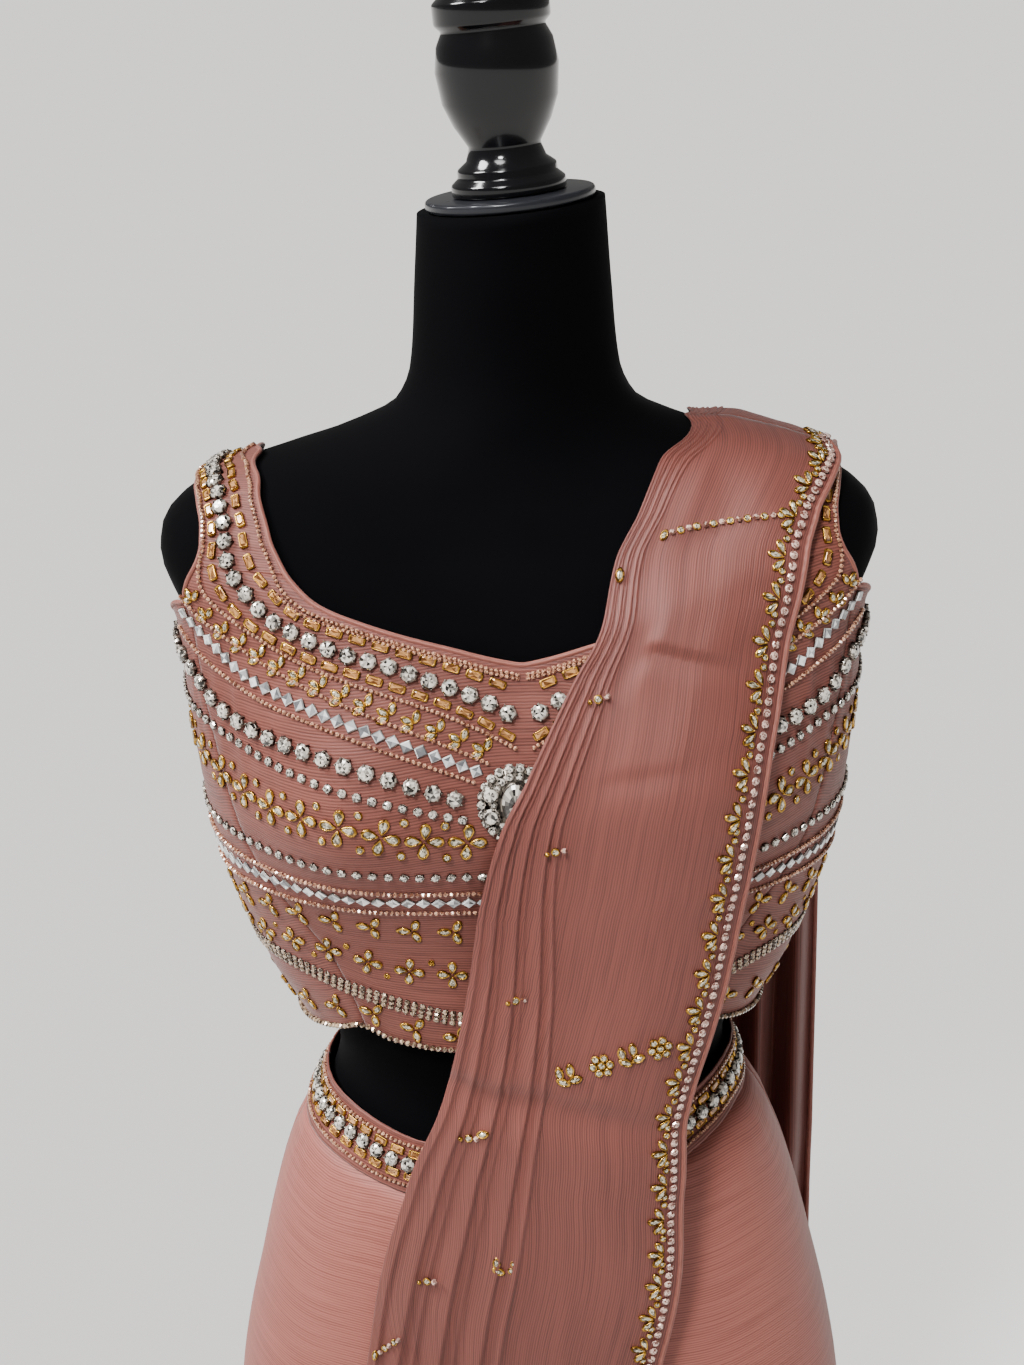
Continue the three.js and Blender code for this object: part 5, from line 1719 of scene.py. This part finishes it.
@dataclass(frozen=True)
class Scatter:
    """A motif on the drape: percent across, thousandths along, and its turn in degrees."""

    spray: Spray
    across: float
    along: float
    turn: float = 0

    def sew(self, tray: Tray, surface: Surface) -> None:
        """Sews the motif in the frame of its place: across to the border, and up the drape.

        Args:
            tray: collects the stones.
            surface: the drape's outer face.
        """
        at, up = np.array([self.across]), np.array([self.along])
        place = surface(at, up)
        side = unit(surface(at + 2, up) - surface(at - 2, up))
        ahead = unit(surface(at, up + 4) - surface(at, up - 4))
        out = unit(np.cross(side, ahead))
        frame = Frames(place + out * 0.3, side, np.cross(out, side), out)
        parts = {Sewn.LEAF: STONES.leaf(7.4, 4.3), Sewn.DOT: STONES.dot(2.15),
                 Sewn.PEACH: (STONES.bead(1.6),), Sewn.GOLD: (STONES.bead(1.4),)}
        trims = {Sewn.PEACH: (Trim.PEACH,), Sewn.GOLD: (Trim.GOLD,)}
        for part, x, y, degrees in self.spray.value:
            for trim, shape in zip(trims.get(part, (Trim.KUNDAN, Trim.GOLD)), parts[part],
                                   strict=True):
                tray.lay(trim, shape.turned(degrees).moved(x, y).turned(self.turn), frame)


@dataclass(frozen=True)
class DotString:
    """A line of gold dots and pink beads by turns on the drape, with a leaf at its start."""

    path: Path
    pitch: float = 4.0

    def sew(self, tray: Tray, surface: Surface) -> None:
        """Sews the line at even steps along its path."""
        frames = trace(surface, self.path, self.pitch)
        index = np.arange(len(frames.place))
        tray.lay_set(STONES.dot(1.95), frames.part((index % 2 == 0) & (index > 0)))
        tray.lay(Trim.PEACH, STONES.bead(1.5), frames.part(index % 2 == 1))
        tray.lay_set(turned(STONES.leaf(6.0, 3.4), 40), frames.part(index == 0))


# Where the small motifs are sewn on the front of the drape.
SCATTERED = (
    DotString(((24.6, 704), (44, 711), (64, 714), (86, 714))),
    DotString(((2, 206), (6, 214), (11, 223))),
    Scatter(Spray.LEAF, 5.5, 677), Scatter(Spray.PAIR, 20.7, 578), Scatter(Spray.PAIR, 30.2, 469),
    Scatter(Spray.PAIR, 21.2, 391), Scatter(Spray.PAIR, 15, 319),
    Scatter(Spray.LEAF, 20, 323, -50), Scatter(Spray.PAIR, 15.6, 252, 15),
    Scatter(Spray.BUD, 40.8, 267), Scatter(Spray.LEAVES, 50.3, 357, 8),
    Scatter(Spray.ROSETTE, 62.6, 364), Scatter(Spray.LEAVES, 73.2, 370, 8),
    Scatter(Spray.ROSETTE, 82.7, 374),
)


@dataclass
class Drape:
    """The pleated drape: up the front, over the shoulder, and hanging down the back."""

    box: Workbox
    front_rows: int = 200
    over_rows: int = 51
    hang_rows: int = 80
    columns: int = 180
    cloth: float = 1.5
    pleat_edges: tuple[float, ...] = (0, 0.08, 0.24, 0.33, 0.54, 0.63, 0.86, 1)
    pleat_depths: tuple[float, ...] = (1.2, 2.2, 1.2, 2.6, 1.2, 2.5, 2.2)
    pleated_share: Curve = Curve(((0, 0.48), (0.33, 0.47), (0.43, 0.43), (0.587, 0.324),
                                  (0.723, 0.257), (0.9, 0.19), (1, 0.24)))
    pleat_rest: float = 0.9
    rest_depth: float = 4.6
    depth_by_width: float = 0.05
    hang_depth: float = 18
    hang_off_form: float = 9.5
    cord_radius: float = 1.5
    evened_reach: tuple[int, int] = (12, 14)  # rows and columns that a slope is taken over
    evened_rows: int = 8
    taut_from: float = 880
    taut_to: float = 1215
    crystal_inset: float = 4.8  # the border's stones, from its edge
    crystal_pitch: float = 5.2
    petal_inset: float = 7.6
    petal_reach: float = 5.0
    sprig_pitch: float = 20.0
    crease_above: float = 5.0  # how wide a crease is above its line, and below it
    crease_below: float = 16.0
    crease_swell: float = 0.85  # share of its depth that the cloth round it stands up
    swell_width: float = 50
    sink_from: float = 0.86  # share of the front stretch past which the neck edge sinks
    sink_over: float = 0.12
    creases: tuple[tuple[float, float, float, float, float], ...] = (
        (432, -11, -0.3, 1.0, 3.4), (802, -83, 0.35, 0.95, 3.0), (640, 20, 0.4, 0.9, 1.0),
    )  # thousandths along, rise across, from and to share, depth

    def build(self) -> None:
        """Builds the three stretches, the border's cord and the stones."""
        outer = self.surface()
        first, second = self.front_rows, self.front_rows + self.over_rows - 1
        stretches = (
            ("drape_front", outer[:first], "draped", (0.24, 1.16), 0.15,
             ["skirt_front_cloth", "blouse_center_front_cloth"]),
            ("drape_shoulder", outer[first - 1: second], "draped", (0.12, 0.13), 0.0085,
             ["form_velvet"]),
            ("drape_back", outer[second - 1:], "hung", (0.26, 0.94), 0.21, ["form_velvet"]),
        )
        for name, points, held, flat, area, rests_on in stretches:
            made = add_sheet(f"{name}_cloth", points, Grain.LENGTH)
            settle(made, self.box.get(DRAPE_CREPE), "rose_cloth", name)
            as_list(rests_on)
        self.border_cord(outer)
        self.embroider(outer[:second])

    def base(self) -> Array:
        """The smooth face that the drape would have without pleats or folds."""
        share, s = over(self.columns), down(self.front_rows)
        front = under_drape(lerp(even(NECK_ANGLE).at(s), even(BORDER_ANGLE).at(s), share),
                            lerp(even(NECK_Z).at(s), even(BORDER_Z).at(s), share))
        taut(front, self.taut_from, self.taut_to)
        s = down(self.over_rows)[1:]
        top = under_drape(lerp(even(OVER_NECK_ANGLE).at(s), even(OVER_BORDER_ANGLE).at(s), share),
                          lerp(even(OVER_NECK_Z).at(s), even(OVER_BORDER_Z).at(s), share))
        return np.concatenate([front, top, self.hanging(top[-1], share)])

    def hanging(self, start: Array, share: Array) -> Array:
        """The end behind: straight down from the shoulder, out where the body stands further.

        Args:
            start: the row of points that it hangs from.
            share: of the width, from the neck edge to the border.

        Returns:
            Its rows of points, without that first one.
        """
        z = np.linspace(HANG_TOP_Z, HANG_END_Z, self.hang_rows)[1:, None]
        x = lerp(HANG_NECK_X.at(z), HANG_BORDER_X.at(z), share)

        def onto(levels: Levels, out: Array | float) -> Array:
            """How far back a section reaches at this place."""
            power = levels.column(4, z)
            side = np.minimum(x / levels.column(1, z), 0.72)
            return levels.column(3, z) * (1 - side**power) ** (1 / power) + out

        skirt = np.where(z < WAIST_SEAM_Z, onto(SKIRT, SKIRT_FOLD_DEPTH.at(z)), 0)
        form = np.where(z > FORM.rows[0][0], onto(FORM, self.hang_off_form), 0)
        wanted = np.concatenate([start[None, :, 1], np.maximum(skirt, form) + 2.5])
        y = np.maximum.accumulate(wanted, axis=0)[1:]
        return np.stack([x, y, z + 0 * x], axis=-1)

    def surface(self) -> Array:
        """The drape's outer face: the smooth face moved out by its pleats and folds.

        The direction out is the cross of wide differences, so that it changes slowly.
        """
        base = self.base()
        rows, columns = base.shape[:2]
        wide_r, wide_c = self.evened_reach
        r, c = np.arange(rows), np.arange(columns)
        up = base[np.minimum(r + wide_r, rows - 1)] - base[np.maximum(r - wide_r, 0)]
        aside = (base[:, np.minimum(c + wide_c, columns - 1)]
                 - base[:, np.maximum(c - wide_c, 0)])
        out = unit(soften(unit(np.cross(aside, up)), self.evened_rows))
        width = np.linalg.norm(base[:, -1] - base[:, 0], axis=1)[:, None]
        share = over(columns)
        along = lengths(base)[:, columns // 2, None]
        part = np.clip(r / (self.front_rows - 1), 0, 1)[:, None]
        lift = self.pleat_lift(share, along, width, part) - self.crease_dip(share, part)
        z = base[:, columns // 2, 2][:, None]
        behind = (r >= self.front_rows + self.over_rows - 2)[:, None]
        opened = np.where(behind, HANG_OPENED.at(z), 0.0)
        folds = self.hang_depth * self.hang_fold(share, z)
        lift = lerp(lift, folds, opened) + self.cloth
        return base + out * lift[..., None]

    def pleat_lift(self, share: Array, along: Array, width: Array, part: Array) -> Array:
        """Knife pleats beside the neck edge, and small unevenness in the flat panel.

        The pleats take a smaller share of the width towards the shoulder and have uneven
        widths. Each one rises evenly to its fold and drops behind it. By the shoulder the neck
        edge sinks on to the bare form.

        Args:
            share: of the width, from the neck edge to the border.
            along: length along the drape.
            width: of the drape in each row.
            part: share of the front stretch, from its lower end to the shoulder.

        Returns:
            How far each point stands out.
        """
        zone = self.pleated_share.at(part)
        count = len(self.pleat_edges) - 1
        wander = 0.02 * np.sin(along / 150 + share * 9) * smooth(share / zone * 4)
        place = np.interp(np.clip(share / zone + wander, 0, 0.99999), self.pleat_edges,
                          np.arange(count + 1))
        phase = place % 1.0
        rise = lerp(phase, smooth(phase), 0.4) / self.pleat_rest
        fall = 1 - smooth((phase - self.pleat_rest) / (1 - self.pleat_rest))
        own = np.array(self.pleat_depths)[place.astype(int)]
        depth = np.minimum(own, zone * width * self.depth_by_width)
        pleat = depth * rise * fall * (share / zone + wander < 1)
        flat = smooth((share - zone) / 0.08)
        ripple = 0.22 * uneven(share * 21, along / 90, 1.3) * flat
        pulled = 0.5 * trough((1 - share) * width - 12, 9) * uneven(along / 4.2, share * 3, 0.5)
        near_shoulder = smooth((part - self.sink_from) / self.sink_over)
        resting = self.rest_depth * near_shoulder * (1 - smooth(share / 0.35))
        return pleat + ripple + pulled - resting

    def crease_dip(self, share: Array, part: Array) -> Array:
        """How far the storage creases dip: steep above their line and slow below it.

        The cloth round each one stands up almost as much, so that it doesn't sink into the
        stones beneath.

        Args:
            share: of the width, from the neck edge to the border.
            part: share of the front stretch, from its lower end to the shoulder.

        Returns:
            The depths.
        """
        dip = 0 * share + 0 * part
        for place, rise, start, stop, depth in self.creases:
            line = place + rise * share + 3 * uneven(share * 9, part, place)
            below = line - part * 1000
            width = np.where(below > 0, self.crease_below, self.crease_above)
            shape = trough(below, width)
            ends = smooth((share - start) / 0.12 + 0.3) * smooth((stop - share) / 0.3)
            swell = self.crease_swell * trough(below, self.swell_width)
            dip = dip + depth * (shape - swell) * ends
        return dip

    def hang_fold(self, share: Array, z: Array) -> Array:
        """The deep upright folds of the hanging end: a cosine that tightens across it."""
        wander = 0.05 * np.sin(z / 160 + share * 4)
        return 0.5 + 0.5 * np.cos(2 * np.pi * (5.5 * share + 0.6 * share**2 + wander))

    def border_cord(self, outer: Array) -> None:
        """The corded edge, just past the drape's border, all the way."""
        edge, inner = outer[:, -1], outer[:, -4]
        away = unit(edge - inner)
        ahead = unit(np.roll(edge, -1, 0) - np.roll(edge, 1, 0))
        ahead[0], ahead[-1] = unit(edge[1] - edge[0]), unit(edge[-1] - edge[-2])
        out = unit(np.cross(away, ahead))
        line = (edge + away * self.cord_radius * 0.6 - out * 0.5)[::2]
        made = add_tube("drape_border_edge", line, out[::2], self.cord_radius, closed=False)
        settle(made, self.box.get(PIPING_CREPE), "rose_cloth", "drape_border_cord")

    def embroider(self, outer: Array) -> None:
        """Sews the border's stones and the scattered motifs."""
        surface = GridSurface(outer).at
        tray = Tray("drape", 47)
        crystals = self.inside(outer, self.crystal_inset, self.crystal_pitch)
        tray.lay(Trim.PEACH, STONES.cut_stone(2.1, 8), crystals, STONES_TURN)
        petals = self.inside(outer, self.petal_inset, self.sprig_pitch)
        for angle in (86, 32, 142):
            tray.lay_set(turned(STONES.drop(8.4, 4.9), angle, self.petal_reach), petals)
        for start in (-0.1, 0.12):
            dots = self.inside(outer, self.petal_inset + 1, self.sprig_pitch, start)
            tray.lay_set(STONES.dot(1.8), dots)
        for motif in SCATTERED:
            motif.sew(tray, surface)
        tray.join(self.box)

    def inside(self, outer: Array, inset: float, pitch: float, start: float = 0.5) -> Frames:
        """Places along the drape at an even distance from its border.

        Args:
            outer: the drape's outer face.
            inset: distance from the border.
            pitch: distance between neighbours.
            start: the share of a pitch before the first one.

        Returns:
            The places.
        """
        rows = np.linspace(0, len(outer) - 1, 40).astype(int)
        width = np.linalg.norm(np.diff(outer[rows, :], axis=1), axis=-1).sum(axis=1)
        share = 100 * (1 - inset / width)
        along = rows / (len(outer) - 1) * 998 + 1
        path = tuple(zip(share.tolist(), along.tolist(), strict=True))
        return trace(GridSurface(outer).at, path, pitch, start)


# The dress form and its stand.


@dataclass
class DressForm:
    """The velvet form, its neck disc and turned finial, and the stand beneath."""

    box: Workbox
    neck_top: float = 1475
    base_radius: float = 150
    base_top: float = 18
    pole_radius: float = 14
    form_bottom: float = 780
    tilt_from: float = 1440  # where the neck starts to lean
    disc_top: float = 5.6  # where the finial stands above the neck
    gap: float = 0.3  # kept to the piece above and below
    turned_sides: int = 64
    form_columns: int = 110
    form_rows: int = 130

    DISC: Path = (
        (0, 0.3), (38.5, 0.3), (39.5, 1.3), (39.5, 4.3), (38.5, 5.3), (0, 5.3),
    )
    FINIAL: Path = (
        (0, 0), (26.5, 0), (26.5, 5), (23, 8), (23, 11.5), (18.5, 15), (16.5, 21), (22.5, 31),
        (26.5, 41), (28.2, 55), (26.5, 66), (23.5, 72), (26.5, 75), (26.5, 84), (22, 88),
        (22.5, 101), (21, 114), (16.5, 125), (7, 133), (6.5, 137), (9.5, 143), (7, 151), (0, 153),
    )

    def build(self) -> None:
        """Builds the form and turns the hard pieces."""
        self.form()
        self.turned("neck_disc_steel", self.DISC, STEEL, "dark_steel", "neck_disc", lean=True)
        finial = tuple((radius, self.disc_top + up) for radius, up in self.FINIAL)
        self.turned("finial_lacquered", finial, LACQUER, "black_lacquer", "finial", lean=True)
        base = ((0, 0), (self.base_radius - 2, 0), (self.base_radius, 2), (self.base_radius, 8),
                (self.base_radius - 5, 12), (34, 13), (26, self.base_top), (0, self.base_top))
        self.turned("base_steel", base, STEEL, "dark_steel", "stand_base", lean=False)
        low, high = self.base_top + self.gap, self.form_bottom - self.gap
        pole = ((0, low), (self.pole_radius, low), (self.pole_radius, high), (0, high))
        self.turned("pole_steel", pole, STEEL, "dark_steel", "stand_pole", lean=False)

    def form(self) -> None:
        """The form: rings of its surface, a tilted top, and a cap over each end."""
        angle = np.linspace(0, 360, self.form_columns, endpoint=False)[None, :]
        z = np.linspace(self.form_bottom, self.neck_top, self.form_rows)[:, None]
        signed = np.where(angle > 180, angle - 360, angle)
        points = form_surface(signed + 0 * z, z + 0 * angle)
        tilt = smooth((z - self.tilt_from) / (self.neck_top - self.tilt_from))
        points[..., 2] += points[..., 0] * NECK_LEAN * tilt
        ends = np.stack([points[0].mean(0), points[-1].mean(0)])
        made = add_rings("form_velvet", points, ends)
        settle(made, self.box.get(Velvet()), "black_velvet", "form_torso")

    def turned(self, name: str, profile: Path, finish: Coated,
               slot: str, node: str, lean: bool) -> None:
        """A turned piece: its profile, smoothed by short arcs, carried round the upright axis.

        Args:
            name: the piece's name.
            profile: radius and height, from the axis round to the axis.
            finish: its material.
            slot: the record's slot.
            node: the solid that it stands for.
            lean: tilts it with the neck.
        """
        def placed(points: Array) -> Array:
            """The points as they are, or tilted and lifted on to the neck."""
            if not lean:
                return points
            x, y, z = np.moveaxis(points, -1, 0)
            cos, sin = np.cos(np.arctan(NECK_LEAN)), np.sin(np.arctan(NECK_LEAN))
            return np.stack([x * cos - z * sin, y, x * sin + z * cos + self.neck_top], axis=-1)

        inner = np.array(profile[1:-1], float)
        turn = np.linspace(0, 2 * np.pi, self.turned_sides, endpoint=False)
        radius, height = inner[:, 0, None], inner[:, 1, None]
        x, y = radius * np.cos(turn), radius * np.sin(turn)
        rings = np.stack([x, y, height + 0 * x], axis=-1)
        ends = np.array([[0, 0, profile[0][1]], [0, 0, profile[-1][1]]], float)
        made = add_rings(name, placed(rings), placed(ends))
        bevel = made.modifiers.new("soft_edges", "BEVEL")
        bevel.width, bevel.segments, bevel.limit_method = 0.8 * MM, 2, "ANGLE"
        bevel.angle_limit = np.radians(40)
        settle(made, self.box.get(finish), slot, node)


# Light, floor and camera.


@dataclass(frozen=True)
class Studio:
    """A plain pale floor, soft light from above and in front, and the photograph's view."""

    distance: float = -0.939
    height: float = 1.594
    pitch: float = 20.7
    roll: float = 1.45
    focal_px: float = 2000
    image: tuple[int, int] = (1024, 1365)
    principal_x: float = 522.9
    sensor: float = 36

    def build(self) -> None:
        """Builds the floor, a broad light from the left, two soft spots and the camera."""
        self.floor()
        self.world()
        self.hang("daylight", "SUN", (-0.72, 0.02, 0.69), {
            "energy": 5.4, "angle": np.radians(20)})
        self.spot("beauty", (-0.36, -0.66, 2.42), (0.06, -0.16, 1.22), 30, 90)
        self.spot("glow", (-0.3, -1.0, 2.2), (0.062, -0.165, 1.262), 14, 560)
        self.camera()

    def floor(self) -> None:
        """A wide pale floor."""
        reach = 400_000
        corners = np.array([(-reach, -reach, 0), (reach, -reach, 0), (reach, reach, 0),
                            (-reach, reach, 0)])
        floor = add_mesh("studio_floor", corners, [[0, 1, 2, 3]], even=False)
        material, tree = new_material("pale_floor_paint")
        place = add_node(tree, "TexCoord").outputs["Object"]
        noise = add_node(tree, "TexNoise", inputs={
            "Vector": place, "Scale": 3.0, "Detail": 3.0})
        colour = add_node(tree, "Mix", {"data_type": "RGBA"}, {
            0: noise.outputs["Fac"], 6: linear("#f3f1ee"), 7: linear("#f5f3f0")})
        shade(tree, {"Base Color": colour.outputs[2], "Roughness": 0.9,
                     "Specular IOR Level": 0.1})
        floor.data.materials.append(material)

    def world(self) -> None:
        """An even pale surround."""
        world = bpy.data.worlds.new("studio_surround")
        world.use_nodes = True
        background = world.node_tree.nodes["Background"]
        background.inputs["Color"].default_value = linear("#e9e7e4")
        background.inputs["Strength"].default_value = 0.27
        bpy.context.scene.world = world

    def hang(self, name: str, kind: str, away: Sequence[float],
             settings: dict[str, float]) -> Piece:
        """Adds a light that shines from a direction.

        Args:
            name: the light's name.
            kind: Blender's word for it.
            away: the direction that it comes from.
            settings: its power and size.

        Returns:
            The light, at the origin.
        """
        light = bpy.data.lights.new(name, kind)
        for key, value in settings.items():
            setattr(light, key, value)
        made = bpy.data.objects.new(name, light)
        bpy.context.scene.collection.objects.link(made)
        flat = float(np.hypot(away[0], away[1]))
        made.rotation_euler = (float(np.arctan2(flat, away[2])), 0.0,
                               float(np.arctan2(away[1], away[0]) + np.pi / 2))
        return made

    def spot(self, name: str, place: tuple[float, float, float],
             target: tuple[float, float, float], beam: float, watts: float) -> None:
        """A wide soft spotlight: its beam, in degrees, fades all the way to its edge."""
        made = self.hang(name, "SPOT", np.array(place) - np.array(target), {
            "energy": watts, "shadow_soft_size": 0.3, "spot_size": np.radians(beam),
            "spot_blend": 1.0})
        made.location = place

    def camera(self) -> None:
        """The photograph's view: a little above the shoulders, looking down, slightly rolled."""
        data = bpy.data.cameras.new("photograph_view")
        data.sensor_width = self.sensor
        data.lens = self.sensor * self.focal_px / self.image[1]
        data.shift_x = (self.image[0] / 2 - self.principal_x) / self.image[1]
        data.clip_start, data.clip_end = 0.05, 1000
        made = bpy.data.objects.new("photograph_view", data)
        bpy.context.scene.collection.objects.link(made)
        pitch, roll = np.radians(self.pitch), np.radians(self.roll)
        right = (np.cos(roll), -np.sin(roll) * np.sin(pitch), -np.sin(roll) * np.cos(pitch))
        up = (np.sin(roll), np.cos(roll) * np.sin(pitch), np.cos(roll) * np.cos(pitch))
        back = (0.0, -np.cos(pitch), np.sin(pitch))
        turn = np.eye(4)
        turn[:3, 0], turn[:3, 1], turn[:3, 2] = right, up, back
        turn[:3, 3] = (0, self.distance, self.height)
        made.matrix_world = Matrix(turn.tolist())
        bpy.context.scene.camera = made


def main() -> None:
    """Builds the dress form, the clothes and the studio, and notes the sizes."""
    logging.basicConfig(level=logging.INFO, format="%(name)s %(message)s")
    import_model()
    box = Workbox()
    DressForm(box).build()
    Blouse(box).build()
    Waistband(box).build()
    Skirt(box).build()
    Drape(box).build()
    Studio().build()
    bpy.context.view_layer.update()


if __name__ == "__main__":
    main()
